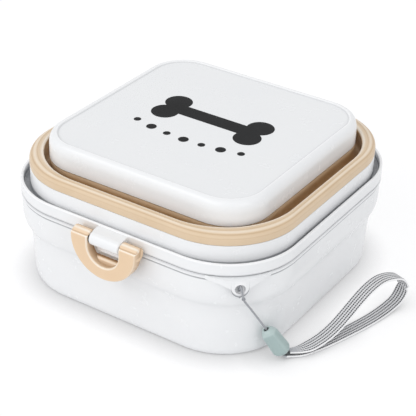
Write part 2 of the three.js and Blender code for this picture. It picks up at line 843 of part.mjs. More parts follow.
const latchGroup = new THREE.Group();
latchGroup.add(piece('latch', toGeometry(latchBody()), materials.beigeLatch));
const latchPinShape = pin(latchPinRadius, pinGap - latchHalf, latchHalf - pinEndWall - pinGap);
const latchPin = piece('latch_pin', latchPinShape, materials.steelPin);
latchPin.position.set(0, -barrelOffset, latchAxisHeight);
latchGroup.add(latchPin);
petBowl.add(latchGroup);

const lanyardGroup = new THREE.Group();
lanyardGroup.add(piece('lanyard_cord', lanyardCord(), materials.greyCord));
const bead = piece('cord_bead', beadGeometry(), materials.sageBead);
const beadAxis = new THREE.Vector3(...beadTop).sub(new THREE.Vector3(...beadFoot)).normalize();
const beadAcross = beadAxis.clone().cross(new THREE.Vector3(...beadEdgeTowards)).normalize();
const beadAlong = beadAcross.clone().cross(beadAxis);
bead.quaternion.setFromRotationMatrix(new THREE.Matrix4().makeBasis(beadAlong, beadAcross, beadAxis));
bead.position.set(...beadTop).addScaledVector(beadAxis, -beadLength);
lanyardGroup.add(bead);
lanyardGroup.add(piece('wrist_strap', wristStrap(), materials.greyWebbing));
petBowl.add(lanyardGroup);

export default petBowl;
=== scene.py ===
# Collapsible pet bowl, closed, with its lanyard lying beside it.
# Sizes below are in millimetres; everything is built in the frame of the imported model.
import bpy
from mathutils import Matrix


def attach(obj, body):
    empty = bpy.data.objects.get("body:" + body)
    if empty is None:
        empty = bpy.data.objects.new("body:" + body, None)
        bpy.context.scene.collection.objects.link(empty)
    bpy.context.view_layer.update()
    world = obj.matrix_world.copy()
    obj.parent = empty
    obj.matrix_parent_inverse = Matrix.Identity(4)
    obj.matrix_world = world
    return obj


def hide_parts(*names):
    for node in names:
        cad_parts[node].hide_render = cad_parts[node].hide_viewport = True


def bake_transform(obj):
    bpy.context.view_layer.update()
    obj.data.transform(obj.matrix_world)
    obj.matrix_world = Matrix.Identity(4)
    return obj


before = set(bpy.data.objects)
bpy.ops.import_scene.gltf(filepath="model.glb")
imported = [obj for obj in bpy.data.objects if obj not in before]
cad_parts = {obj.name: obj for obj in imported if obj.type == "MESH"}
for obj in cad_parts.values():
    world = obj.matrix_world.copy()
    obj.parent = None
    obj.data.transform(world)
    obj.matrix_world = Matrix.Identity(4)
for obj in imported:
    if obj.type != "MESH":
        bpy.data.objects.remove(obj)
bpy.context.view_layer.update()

from math import asin, atan2, copysign, cos, degrees, hypot, pi, radians, sin, sqrt

import bmesh
import bpy
from mathutils import Matrix, Vector

mm = 0.001


# Camera

camera = {
    "aim": (0, 0, 40),
    "distance": 676.76,
    "azimuth": 32.72,
    "elevation": 31.13,
    "roll": 1.72,
    "right": 2.18,
    "up": -8.87,
    "lens": 116.9,
}


def aimCamera():
    turn, lift, roll = (radians(camera[k]) for k in ("azimuth", "elevation", "roll"))
    back = Vector((sin(turn) * cos(lift), -cos(turn) * cos(lift), sin(lift)))
    level = Vector((cos(turn), sin(turn), 0))
    right = level * cos(roll) + back.cross(level) * sin(roll)
    up = back.cross(right)
    place = Vector(camera["aim"]) + back * camera["distance"] + right * camera["right"] + up * camera["up"]
    data = bpy.data.cameras.new("photoCamera")
    data.lens = camera["lens"]
    data.clip_start = 0.01
    obj = bpy.data.objects.new("photoCamera", data)
    obj.matrix_world = Matrix.Translation(place * mm) @ Matrix((right, up, back)).transposed().to_4x4()
    bpy.context.scene.collection.objects.link(obj)
    bpy.context.scene.camera = obj


aimCamera()
print("camera set")


# Mesh helpers

def addPiece(name, bm, material, body, sharp=35, bevel=0, bevelSteps=2):
    bmesh.ops.recalc_face_normals(bm, faces=bm.faces)
    mesh = bpy.data.meshes.new(name)
    bm.to_mesh(mesh)
    bm.free()
    mesh.shade_smooth()
    mesh.set_sharp_from_angle(angle=radians(sharp))
    mesh.materials.append(material)
    piece = bpy.data.objects.new(name, mesh)
    bpy.context.scene.collection.objects.link(piece)
    if bevel:
        edge = piece.modifiers.new("roundEdges", "BEVEL")
        edge.width = bevel * mm
        edge.segments = bevelSteps
        edge.limit_method = "ANGLE"
        edge.angle_limit = radians(30)
    piece.modifiers.new("flatFaces", "WEIGHTED_NORMAL").keep_sharp = True
    if body:
        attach(piece, body)
    return piece


def addLoop(bm, points, tones=0):
    # points in millimetres, with one tone or one for each: the tone paints light, -1 a painted highlight on an edge,
    # 1 painted shade in a crease
    layer = bm.verts.layers.float.get("tone") or bm.verts.layers.float.new("tone")
    loop = [bm.verts.new(Vector(point) * mm) for point in points]
    for i, vert in enumerate(loop):
        vert[layer] = tones[i] if isinstance(tones, list) else tones
    return loop


def skinLoops(bm, loops, closed=False, caps=False):
    for near, far in zip(loops, loops[1:] + loops[:1] if closed else loops[1:]):
        for i in range(len(near)):
            j = (i + 1) % len(near)
            bm.faces.new((near[i], near[j], far[j], far[i]))
    if caps:
        bm.faces.new(loops[0])
        bm.faces.new(loops[-1])


def squareLoop(half, corner, z, steps=24):  # square with round corners, seen from above
    reach = half - corner
    loop = []
    for quarter in range(4):
        middle = radians(90 * quarter + 45)
        centre = Vector((copysign(reach, cos(middle)), copysign(reach, sin(middle)), z))
        for i in range(steps + 1):
            turn = radians(90 * (quarter + i / steps))
            loop.append(centre + Vector((cos(turn), sin(turn), 0)) * corner)
    return loop


def inwards(square, distance):
    return square[0] - distance, square[1] - distance


def station(half, corner, z, tone=0):
    return Vector((half, corner, z, tone))


def curve(start, towards, end, steps):
    start, towards, end = (station(*p) for p in (start, towards, end))
    shares = [i / steps for i in range(steps + 1)]
    return [start * (1 - t) ** 2 + towards * 2 * t * (1 - t) + end * t ** 2 for t in shares]


def roundedProfile(corners, closed=False, steps=4):
    # corners are (half, corner, z, round, tone), the last two if wanted; a rounded corner becomes an arc
    profile = []
    count = len(corners)
    spots = [station(*spot[:3], *spot[4:]) for spot in corners]
    for i, here in enumerate(spots):
        size = corners[i][3] if len(corners[i]) > 3 else 0
        if not size or (not closed and i in (0, count - 1)):
            profile.append(here)
            continue
        ends = []
        for other in (spots[i - 1], spots[(i + 1) % count]):
            length = hypot(other.x - here.x, other.z - here.z)
            ends.append(here.lerp(other, min(size / length, 0.5)))
            ends[-1].w = here.w
        profile += curve(ends[0], here, ends[1], steps)
    return profile


def loftSquare(bm, profile, closed=False):
    loops = [addLoop(bm, squareLoop(*place[:3]), place[3]) for place in profile]
    skinLoops(bm, loops, closed, caps=not closed)


def quarterTurns(steps):
    return [radians(90 * i / steps) for i in range(steps + 1)]


def knuckle(bm, spec, fromX, toX, shade=None, tail=None, steps=40):
    # barrel with rounded ends, bored right through unless a tail closes its far end
    radius, bore, soft = spec["radius"], spec["bore"], spec["endRound"]
    turns = quarterTurns(4)
    profile = [(fromX, bore)]
    profile += [(fromX + soft * (1 - cos(a)), radius - soft + soft * sin(a)) for a in turns]
    profile += [(toX - soft * (1 - sin(a)), radius - soft + soft * cos(a)) for a in turns]
    profile += tail or [(toX, bore)]
    around = [2 * pi * i / steps for i in range(steps)]
    tones = [shade(degrees(turn)) if shade else 0 for turn in around]
    y, z = spec["y"], spec["z"]
    loops = [addLoop(bm, [(x, y + r * cos(turn), z + r * sin(turn)) for turn in around], tones)
             for x, r in profile]
    skinLoops(bm, loops, closed=True)


def prismAlongX(bm, points, fromX, toX, shade=0):
    skinLoops(bm, [addLoop(bm, [(x, y, z) for y, z in points], shade) for x in (fromX, toX)], caps=True)


def smoothLine(points, spacing, fineSteps=40):  # evenly spaced points on a smooth line through the given ones
    points = [Vector(p) for p in points]
    points = [points[0] * 2 - points[1]] + points + [points[-1] * 2 - points[-2]]
    fine = [points[1]]
    for a, b, c, d in zip(points, points[1:], points[2:], points[3:]):
        gaps = [max((q - p).length ** 0.5, 1e-4) for p, q in ((a, b), (b, c), (c, d))]
        first = ((b - a) / gaps[0] - (c - a) / (gaps[0] + gaps[1]) + (c - b) / gaps[1]) * gaps[1]
        last = ((c - b) / gaps[1] - (d - b) / (gaps[1] + gaps[2]) + (d - c) / gaps[2]) * gaps[1]
        for step in range(1, fineSteps + 1):
            t = step / fineSteps
            fine.append(b + first * t + (c * 3 - b * 3 - first * 2 - last) * t ** 2
                        + (b * 2 - c * 2 + first + last) * t ** 3)
    reach = [0]
    for p, q in zip(fine, fine[1:]):
        reach.append(reach[-1] + (q - p).length)
    count = round(reach[-1] / spacing)
    line, at = [], 0
    for i in range(count + 1):
        goal = reach[-1] * i / count
        while at < len(fine) - 2 and reach[at + 1] < goal:
            at += 1
        share = (goal - reach[at]) / max(reach[at + 1] - reach[at], 1e-9)
        line.append(fine[at].lerp(fine[at + 1], share))
    return line, reach[-1]


def tangents(line):
    last = len(line) - 1
    return [(line[min(i + 1, last)] - line[max(i - 1, 0)]).normalized() for i in range(last + 1)]


# Shader helpers

def join(socket, value):
    if isinstance(value, bpy.types.NodeSocket):
        socket.id_data.links.new(value, socket)
    else:
        socket.default_value = value


def feed(target, **values):  # sockets by name, with "_" for a space, and any other setting of the node
    for key, value in values.items():
        socket = target.inputs.get(key.replace("_", " "))
        if socket is None:
            setattr(target, key, value)
        else:
            join(socket, value)


def node(tree, kind, **values):
    made = tree.nodes.new(kind)
    feed(made, **values)
    return made


def noise(tree, where=None, **values):
    if where is None:
        where = tree.nodes.new("ShaderNodeTexCoord").outputs["Object"]
    return node(tree, "ShaderNodeTexNoise", Vector=where, **values).outputs["Fac"]


def softStep(tree, value, low, high):
    return node(tree, "ShaderNodeMapRange", interpolation_type="SMOOTHSTEP", Value=value,
                From_Min=low, From_Max=high).outputs["Result"]


def bump(tree, height, distance, strength):
    return node(tree, "ShaderNodeBump", Height=height, Distance=distance, Strength=strength).outputs["Normal"]


def math2(tree, operation, *values, clamp=False):
    made = node(tree, "ShaderNodeMath", operation=operation, use_clamp=clamp)
    for socket, value in zip(made.inputs, values):
        join(socket, value)
    return made.outputs[0]


def mixColour(tree, factor, a, b):
    made = node(tree, "ShaderNodeMix", data_type="RGBA")
    for place, value in ((0, factor), (6, a), (7, b)):
        join(made.inputs[place], value)
    return made.outputs[2]


def colour(hexCode):
    parts = [int(hexCode[i:i + 2], 16) / 255 for i in (0, 2, 4)]
    return tuple(c / 12.92 if c <= 0.04045 else ((c + 0.055) / 1.055) ** 2.4 for c in parts) + (1,)


def emptyMaterial(name):
    material = bpy.data.materials.new(name)
    material.use_nodes = True
    material.node_tree.nodes.clear()
    return material, material.node_tree


def newMaterial(name, **values):
    material, tree = emptyMaterial(name)
    shader = node(tree, "ShaderNodeBsdfPrincipled", **values)
    node(tree, "ShaderNodeOutputMaterial", Surface=shader.outputs["BSDF"])
    return material, tree, shader


def newGroup(name, inputs, outputs):  # sockets as {name: kind}
    group = bpy.data.node_groups.new(name, "ShaderNodeTree")
    for way, sockets in (("INPUT", inputs), ("OUTPUT", outputs)):
        for socket, kind in sockets.items():
            group.interface.new_socket(name=socket, in_out=way, socket_type="NodeSocket" + kind)
    return group, group.nodes.new("NodeGroupInput").outputs, group.nodes.new("NodeGroupOutput")


def buildMouldedSkin():
    # fine spark grain, faint cloudy flow marks and handling smudges of a moulded piece
    group, given, put = newGroup("mouldedSkin", {
        "Color": "Color", "Cloud Color": "Color", "Cloud Amount": "Float", "Roughness": "Float",
        "Smudge Amount": "Float", "Grain Scale": "Float", "Grain Depth": "Float",
    }, {"Color": "Color", "Roughness": "Float", "Normal": "Vector"})
    where = group.nodes.new("ShaderNodeTexCoord").outputs["Object"]
    cloud = noise(group, where, Scale=38.0, Detail=3.0, Roughness=0.55, Distortion=0.4)
    smudge = noise(group, where, Scale=110.0, Detail=5.0, Roughness=0.65)
    grain = noise(group, where, Scale=given["Grain Scale"], Detail=2.0, Roughness=0.6)
    amount = math2(group, "MULTIPLY", softStep(group, cloud, 0.38, 0.68), given["Cloud Amount"])
    swing = math2(group, "MULTIPLY", math2(group, "SUBTRACT", smudge, 0.5), given["Smudge Amount"])
    feed(put, Color=mixColour(group, amount, given["Color"], given["Cloud Color"]),
         Roughness=math2(group, "ADD", given["Roughness"], swing),
         Normal=bump(group, grain, distance=0.00006, strength=given["Grain Depth"]))
    return group


def buildShadeAndHighlightLines():
    # paints highlights on edges and shade into creases by the "tone" kept on a mesh's points, a little unevenly
    # Edge Color is the painted highlight colour, Crease Color the painted shade colour
    group, given, put = newGroup("shadeAndHighlightLines", {"Color": "Color", "Edge Color": "Color", "Crease Color": "Color"},
                                 {"Color": "Color"})
    tone = node(group, "ShaderNodeAttribute", attribute_name="tone").outputs["Fac"]
    patchy = noise(group, Scale=170.0, Detail=2.0)
    strength = math2(group, "ADD", math2(group, "MULTIPLY", patchy, 0.5), 0.7)
    tone = math2(group, "MULTIPLY", tone, strength)
    bright, shaded = (math2(group, "MULTIPLY", tone, sign, clamp=True) for sign in (-1, 1))
    lifted = mixColour(group, bright, given["Color"], given["Edge Color"])
    feed(put, Color=mixColour(group, shaded, lifted, given["Crease Color"]))
    return group


mouldedSkin = buildMouldedSkin()
shadeAndHighlightLines = buildShadeAndHighlightLines()


def mouldedMaterial(name, **more):
    look = dict(zip(lookKeys, looks[name]))
    material, tree, shader = newMaterial(name, **more)
    skin = node(tree, "ShaderNodeGroup", node_tree=mouldedSkin, Color=colour(look["colour"]),
                Cloud_Color=colour(look["cloud"]), Cloud_Amount=look["cloudAmount"], Roughness=look["roughness"],
                Smudge_Amount=look["smudge"], Grain_Scale=look["grainScale"], Grain_Depth=look["grainDepth"])
    lines = node(tree, "ShaderNodeGroup", node_tree=shadeAndHighlightLines, Color=skin.outputs["Color"],
                 Edge_Color=colour(look["edge"]), Crease_Color=colour(look["crease"]))
    feed(shader, Base_Color=lines.outputs["Color"], Roughness=skin.outputs["Roughness"],
         Normal=skin.outputs["Normal"])
    return material


# edge is the painted highlight colour and crease the painted shade colour that each piece's tones mix in
lookKeys = ("colour", "cloud", "cloudAmount", "roughness", "smudge", "grainScale", "grainDepth", "edge", "crease")
looks = {
    "whiteShell": ("F0F1F2", "ECEEF0", 0.25, 0.27, 0.03, 1500.0, 0.003, "FBFBFC", "74777D"),
    "beigeSilicone": ("DEC6A7", "D6BC99", 0.4, 0.46, 0.12, 1500.0, 0.1, "FBF0E0", "A67B42"),
    "beigePlastic": ("EACDAB", "E5C5A0", 0.3, 0.25, 0.06, 1500.0, 0.02, "FDF4E6", "8F6130"),
    "sagePlastic": ("A7BAB8", "9DB1B0", 0.4, 0.3, 0.08, 2000.0, 0.08, "C8D7D5", "1F2423"),
    "paleSeal": ("D5D7D8", "C9CCCE", 0.3, 0.45, 0.1, 1500.0, 0.1, "E6E8E9", "9FA3A6"),
    "blackInk": ("161617", "1E1F21", 0.6, 0.5, 0.1, 3000.0, 0.2, "2E2F32", "121213"),
}

whiteShell = mouldedMaterial("whiteShell")
beigeSilicone = mouldedMaterial("beigeSilicone", Sheen_Weight=0.08, Sheen_Roughness=0.5)
beigePlastic = mouldedMaterial("beigePlastic")
sagePlastic = mouldedMaterial("sagePlastic")
paleSeal = mouldedMaterial("paleSeal")
blackInk = mouldedMaterial("blackInk", Specular_IOR_Level=0.12)


def drawnSteel():
    material, tree, shader = newMaterial("drawnSteel", Metallic=1.0)
    where = tree.nodes.new("ShaderNodeTexCoord").outputs["Object"]
    stretch = node(tree, "ShaderNodeMapping", Vector=where, Scale=(60, 3000, 3000))
    lines = noise(tree, stretch.outputs["Vector"], Scale=1.0, Detail=3.0)
    rough = node(tree, "ShaderNodeMapRange", Value=lines, To_Min=0.2, To_Max=0.42)
    feed(shader, Base_Color=mixColour(tree, lines, colour("A9ACB0"), colour("D2D4D6")),
         Roughness=rough.outputs["Result"])
    return material


webbing = {
    "rowPitch": 1.46, "rowWidth": 0.64, "rowSoft": 0.12, "rowSink": 0.12, "stitchPitch": 1.1, "stitchGap": 0.17,
    "edgeFrom": 3.35, "plainFrom": 1, "plainTo": 8, "light": "F4F4F5", "shade": "D9DADD", "dark": "141518",
    # gap is the painted shadow colour between the strands near the bead
    "edge": "FAFAFB", "plain": "C4C5C9", "gap": "08080A",
}


def wovenTape():
    # u is the distance from the nearer end and v the place across, in millimetres: dark dotted rows on pale cloth
    material, tree, shader = newMaterial("wovenTape", Roughness=0.8, Sheen_Weight=0.2)
    uv = node(tree, "ShaderNodeUVMap", uv_map="tape")
    split = node(tree, "ShaderNodeSeparateXYZ", Vector=uv.outputs["UV"])
    along, across = split.outputs["X"], split.outputs["Y"]
    pitch, rowHalf, soft = webbing["rowPitch"], webbing["rowWidth"] / 2, webbing["rowSoft"]

    def calc(operation, *values):
        return math2(tree, operation, *values)

    rows = calc("FRACT", calc("ADD", calc("DIVIDE", across, pitch), 0.5))
    fromRow = calc("MULTIPLY", calc("ABSOLUTE", calc("SUBTRACT", rows, 0.5)), pitch)
    fromMiddle = calc("ABSOLUTE", across)
    picks = calc("FRACT", calc("DIVIDE", along, webbing["stitchPitch"]))
    pick = calc("ABSOLUTE", calc("SUBTRACT", picks, 0.5))
    furrow = softStep(tree, fromRow, rowHalf + soft, rowHalf - soft)
    woven = softStep(tree, along, webbing["plainFrom"], webbing["plainTo"])
    stitch = calc("ADD", calc("MULTIPLY", calc("GREATER_THAN", pick, webbing["stitchGap"]), 0.7), 0.3)
    inside = calc("LESS_THAN", fromMiddle, webbing["edgeFrom"])
    dots = calc("MULTIPLY", calc("MULTIPLY", calc("MULTIPLY", furrow, inside), stitch), woven)
    fuzz = noise(tree, Scale=1400.0, Detail=3.0)
    cloth = mixColour(tree, fuzz, colour(webbing["shade"]), colour(webbing["light"]))
    cloth = mixColour(tree, woven, colour(webbing["plain"]), cloth)
    edge = calc("GREATER_THAN", fromMiddle, webbing["edgeFrom"])
    cloth = mixColour(tree, edge, cloth, colour(webbing["edge"]))
    # the strap's tones paint the shadow between its strands in the gap colour
    lines = node(tree, "ShaderNodeGroup", node_tree=shadeAndHighlightLines,
                 Color=mixColour(tree, dots, cloth, colour(webbing["dark"])),
                 Edge_Color=colour(webbing["edge"]), Crease_Color=colour(webbing["gap"]))
    height = calc("SUBTRACT", calc("MULTIPLY", pick, 0.6), calc("MULTIPLY", furrow, 0.9))
    height = calc("ADD", height, calc("MULTIPLY", fuzz, 0.4))
    feed(shader, Base_Color=lines.outputs["Color"], Normal=bump(tree, height, distance=0.00022, strength=0.6))
    return material


def twistedYarn():
    material, tree, shader = newMaterial("twistedYarn", Roughness=0.8, Sheen_Weight=0.2)
    fuzz = noise(tree, Scale=2200.0, Detail=4.0)
    feed(shader, Base_Color=mixColour(tree, fuzz, colour("7C7E83"), colour("C0C2C7")),
         Normal=bump(tree, fuzz, distance=0.0001, strength=0.5))
    return material


steel = drawnSteel()
greyWebbing = wovenTape()
greyYarn = twistedYarn()
print("materials made")


# Lanyard cord, bead and wrist strap

lug = {
    "bearing": -48, "cornerRadius": 37.8, "cornerCentre": 37.2, "proud": 3.3, "thickness": 2.2, "spread": 15,
    "neckSpread": 7.6, "neckHeight": 44.9, "eyeHeight": 43.6, "eyeRadius": 4.1, "holeRadius": 2.5,
    "top": 48.2, "shelfFoot": 46.2, "edgeRound": 0.45, "footLine": 0.62,
}
cord = {
    "diameter": 1.1, "ply": 3, "lay": 3.4, "plyDepth": 0.13, "spacing": 0.3,
    "eyeRoute": [
        (-0.3, 0.1, -5.05), (-1.45, 0.1, -5.0), (-1.95, 0.1, -4.1), (-1.88, 0.05, -2.2), (-1.75, 0.0, -0.7),
        (-1.1, 0.0, 0.8), (0.1, 0.05, 1.5), (1.35, 0.25, 1.0), (1.95, 0.55, -0.4), (1.98, 0.95, -2.3),
        (1.95, 1.35, -4.0), (1.8, 1.8, -5.6),
    ],
    "spanShares": (0.25, 0.5, 0.75),
}
bead = {
    "top": (71.0, -53.6, 16.4), "foot": (77.8, -48.8, 3.9), "edgeTowards": (0.792, 0.277, 0.544),
    "length": 15.8, "width": 8.7, "depth": 7.7, "round": 3.1, "topShare": 0.84, "footEnd": (3.0, 2.8),
    "topEnd": (3.6, 1.95),
    "boreRadius": 0.85, "boreDepth": 6.0, "boreFlare": 0.3,
}
strap = {
    "width": 7.6, "thickness": 1.2, "gather": 11, "gatherShare": 0.5, "spacing": 1.0,
    "across": [0, 0.19, 0.38, 0.57, 0.76, 0.85, 0.94, 0.985, 1],
    "route": [
        (78.6, -49.3, 2.1), (79.1, -47.0, 1.35), (80.4, -44.3, 0.9), (82.5, -40.6, 0.75), (85.5, -34.6, 0.7),
        (88.8, -26.4, 0.7), (92.5, -15.1, 0.7), (95.7, -4.3, 0.7), (98.0, 5.2, 0.8), (99.8, 14.2, 1.5),
        (101.3, 20.1, 3.6), (102.0, 23.7, 7.4), (102.2, 24.2, 11.3), (101.2, 21.3, 15.9), (99.1, 14.9, 19.0),
        (96.9, 8.1, 19.9), (95.1, 0.8, 18.5), (93.3, -6.6, 14.9), (91.6, -13.1, 10.7), (90.0, -19.7, 7.0),
        (88.5, -25.9, 4.7), (86.9, -32.1, 3.5), (84.6, -38.7, 2.9), (81.6, -43.3, 2.75), (79.4, -45.8, 2.9),
    ],
}


def lugPoint(out, along, up):  # out from the tub's corner, along it and up, at the middle of the lug's eye
    turn = radians(lug["bearing"])
    radius = lug["cornerRadius"] + lug["proud"] - lug["thickness"] / 2 + out
    return Vector((
        lug["cornerCentre"] + radius * cos(turn) - along * sin(turn),
        -lug["cornerCentre"] + radius * sin(turn) + along * cos(turn),
        lug["eyeHeight"] + up,
    ))


def tubeAlong(bm, line, section, sides=18):  # section(distance, turn) gives the radius
    ways = tangents(line)
    side = ways[0].orthogonal().normalized()
    turns = [2 * pi * k / sides for k in range(sides)]
    loops, distance = [], 0
    for i, (place, way) in enumerate(zip(line, ways)):
        side = (side - way * side.dot(way)).normalized()
        other = way.cross(side)
        distance += (place - line[i - 1]).length if i else 0
        loops.append(addLoop(bm, [place + (side * cos(turn) + other * sin(turn)) * section(distance, turn)
                                  for turn in turns]))
    skinLoops(bm, loops, caps=True)


def plyRadius(distance, turn):
    half, depth = cord["diameter"] / 2, cord["plyDepth"]
    return half * (1 - depth + depth * cos(cord["ply"] * (turn - 2 * pi * distance / cord["lay"])))


def buildCord():
    top, foot = Vector(bead["top"]), Vector(bead["foot"])
    route = [lugPoint(*p) for p in cord["eyeRoute"]]
    low = route[-1]
    route += [low.lerp(top, share) for share in cord["spanShares"]]
    route += [top, top + (foot - top).normalized() * (bead["boreDepth"] - cord["diameter"])]
    line, length = smoothLine(route, cord["spacing"])
    bm = bmesh.new()
    tubeAlong(bm, line, plyRadius)
    return addPiece("lanyardCord", bm, greyYarn, "tub", sharp=80), line, length


knot = {
    "turns": 2.6, "steps": 12, "radius": 0.72, "slim": 0.86, "rise": 0.85, "at": (1.9, 1.52, -4.75), "spacing": 0.2,
    "thread": 0.34,
}


def buildKnot():  # fine thread wound round the cord's front strand
    centre = lugPoint(*knot["at"])
    above, below = (lugPoint(*place) for place in cord["eyeRoute"][-2:])
    downward = (below - above).normalized()
    side = downward.orthogonal().normalized()
    other = downward.cross(side)
    coil = []
    for i in range(int(knot["turns"] * knot["steps"]) + 1):
        turn = 2 * pi * i / knot["steps"]
        share = i / (knot["turns"] * knot["steps"])
        swell = knot["radius"] * (knot["slim"] + (1 - knot["slim"]) * sin(pi * share))
        coil.append(centre + downward * knot["rise"] * (share - 0.5)
                    + (side * cos(turn) + other * sin(turn)) * swell)
    line, _ = smoothLine(coil, knot["spacing"])
    bm = bmesh.new()
    tubeAlong(bm, line, lambda distance, turn: knot["thread"] / 2)
    return addPiece("lanyardKnot", bm, greyYarn, "tub", sharp=80)


def buildBead():
    top, foot = Vector(bead["top"]), Vector(bead["foot"])
    axis = (top - foot).normalized()
    across = axis.cross(Vector(bead["edgeTowards"])).normalized()
    along = across.cross(axis)
    length, cap = bead["length"], bead["topEnd"][0]
    bm = bmesh.new()

    def placed(height, spots):
        return [foot + axis * (height - length + (top - foot).length) + spot for spot in spots]

    turns = quarterTurns(6)
    lower, upper = ([(rise * (1 - cos(a)), shrink * (1 - sin(a))) for a in turns]
                    for rise, shrink in (bead["footEnd"], bead["topEnd"]))
    upper = [(length - h, s) for h, s in reversed(upper)]
    loops = []
    for height, shrink in lower + upper:
        spots = beadSection(along, across, 1 - (1 - bead["topShare"]) * height / length, shrink)
        # painted highlights: the top cap is painted lighter and the section's corner ridges carry thin highlights
        paintedLight = height > length - cap / 2
        tones = [-0.5 if paintedLight else -0.18 if i % 8 in (3, 4) else 0 for i in range(len(spots))]
        loops.append(addLoop(bm, placed(height, spots), tones))
    skinLoops(bm, loops)
    bm.faces.new(loops[0])
    radius, depth, flare = bead["boreRadius"], bead["boreDepth"], bead["boreFlare"]
    count = len(loops[0])
    around = [2 * pi * (i - 3.5) / count + pi / 4 for i in range(count)]
    # the bore's tone 1 paints shade inside it
    bore = []
    for height, reach in ((length, radius + flare), (length - flare, radius), (length - depth, radius)):
        spots = [along * reach * cos(turn) + across * reach * sin(turn) for turn in around]
        bore.append(addLoop(bm, placed(height, spots), 1))
    skinLoops(bm, [loops[-1]] + bore)
    bm.faces.new(bore[-1])
    return addPiece("lanyardBead", bm, sagePlastic, "tub", sharp=50)


def beadSection(along, across, share, shrink):
    halfX, halfY = bead["width"] / 2 * share - shrink, bead["depth"] / 2 * share - shrink
    soft = max(min(bead["round"] * share, halfX, halfY), 0.2)
    spots = []
    for quarter in range(4):
        middle = radians(90 * quarter + 45)
        for i in range(8):
            turn = radians(90 * (quarter + i / 7))
            x = copysign(halfX - soft, cos(middle)) + soft * cos(turn)
            y = copysign(halfY - soft, sin(middle)) + soft * sin(turn)
            spots.append(along * x + across * y)
    return spots


def buildStrap():
    line, length = smoothLine(strap["route"], strap["spacing"])
    half, thick, gather = strap["width"] / 2, strap["thickness"] / 2, strap["gather"]
    row = [-v for v in reversed(strap["across"])] + strap["across"][1:]
    spots = [(1, v) for v in row] + [(-1, v) for v in reversed(row[1:-1])]  # over the top and back underneath
    bm = bmesh.new()
    loops, fromEnds = [], []
    widthWay = None
    for i, (place, way) in enumerate(zip(line, tangents(line))):
        at = length * i / (len(line) - 1)
        fromEnds.append(min(at, length - at))
        t = min(fromEnds[-1] / gather, 1)
        width = half * (strap["gatherShare"] + (1 - strap["gatherShare"]) * t * t * (3 - 2 * t))
        level = Vector((0, 0, 1)).cross(way).normalized()
        if widthWay and level.dot(widthWay) < 0:  # stays on the same side over the top of the loop
            level.negate()
        widthWay = level
        face = way.cross(level)
        points, tones = [], []
        for sign, v in spots:
            sunk = 0.5 + 0.5 * cos(2 * pi * v * half / webbing["rowPitch"])  # where the dark rows run
            out = thick * (1 - abs(v) ** 14) * (1 - webbing["rowSink"] * sunk) if abs(v) < 1 else 0
            points.append(place + face * out * sign + level * v * width)
            # 1 - t paints the shadow between the strands on one face of the tape, fading out from its ends
            tones.append(1 - t if sign > 0 and abs(v) < 0.8 else 0)
        loops.append(addLoop(bm, points, tones))
    uv = bm.loops.layers.uv.new("tape")
    for i in range(len(loops) - 1):
        for k in range(len(spots)):
            j = (k + 1) % len(spots)
            made = bm.faces.new((loops[i][k], loops[i][j], loops[i + 1][j], loops[i + 1][k]))
            for loop, (row, column) in zip(made.loops, ((i, k), (i, j), (i + 1, j), (i + 1, k))):
                loop[uv].uv = (fromEnds[row], spots[column][1] * half)
    bm.faces.new(loops[0])
    bm.faces.new(loops[-1])
    return addPiece("wristStrap", bm, greyWebbing, "tub", sharp=60), line, length


cordPiece, cordLine, cordLength = buildCord()
knotPiece = buildKnot()
beadPiece = buildBead()
strapPiece, strapLine, strapLength = buildStrap()
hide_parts("lanyard_cord")
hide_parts("cord_bead")
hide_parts("wrist_strap")
[p * mm for p in cordLine]
[p * mm for p in strapLine]
print("lanyard built")


# Food tub

tub = {
    "foot": (70.05, 34.5), "footInset": 5.6, "footRound": 5.4, "waist": (71.5, 36.3, 28.2, 8),
    "shoulder": (74.55, 37.35, 33.6, 7), "collar": (74.55, 37.35), "collarTop": 45.75, "seam": (74.5, 37.3),
    "seamTop": (74.7, 37.5), "flange": (75, 37.8), "flangeFoot": 46.2, "top": 48.2, "mouth": (72.2, 35.0),
    "mouthFoot": (33.6, 7), "floor": 2.4, "floorInset": 8, "innerFoot": (67.85, 32.3), "innerRound": 5,
    "innerWaist": (69.3, 34.1, 28.2, 8), "edge": 0.35,
}


def buildTub():
    flange, edge, top, seamFoot = tub["flange"], tub["edge"], tub["top"], tub["collarTop"]
    profile = roundedProfile([
        (*inwards(tub["foot"], tub["footInset"]), 0),
        (*tub["foot"], 0, tub["footRound"]),
        tub["waist"],
        tub["shoulder"],
        (*tub["collar"], seamFoot - 0.5),
        # the fifth number is a tone: painted shade along the seam under the flange, on the flange's top edge and in
        # the gap under the rim
        (*tub["seam"], seamFoot + 0.1, 0.15, 0.75),
        (*tub["seamTop"], tub["flangeFoot"], 0.15, 0.5),
        (*flange, tub["flangeFoot"] + 0.3),
        (*flange, top - 0.9),
        (*flange, top, edge, 0.3),
        (*inwards(flange, 0.8), top, 0, 0.5),
        (*inwards(flange, 1.3), top),
        (*tub["mouth"], top, edge),
        (*tub["mouth"], *tub["mouthFoot"]),
        tub["innerWaist"],
        (*tub["innerFoot"], tub["floor"], tub["innerRound"]),
        (*inwards(tub["innerFoot"], tub["floorInset"]), tub["floor"]),
    ], steps=7)
    bm = bmesh.new()
    loftSquare(bm, profile)
    return addPiece("tubShell", bm, whiteShell, "tub", sharp=50)


hinge = {
    "y": 79.6, "z": 48.35, "radius": 3.4, "bore": 1.8, "endRound": 0.5, "rimHalf": 14, "from": 14.3, "to": 27,
    "webDrop": 8, "inY": 72.4,
}


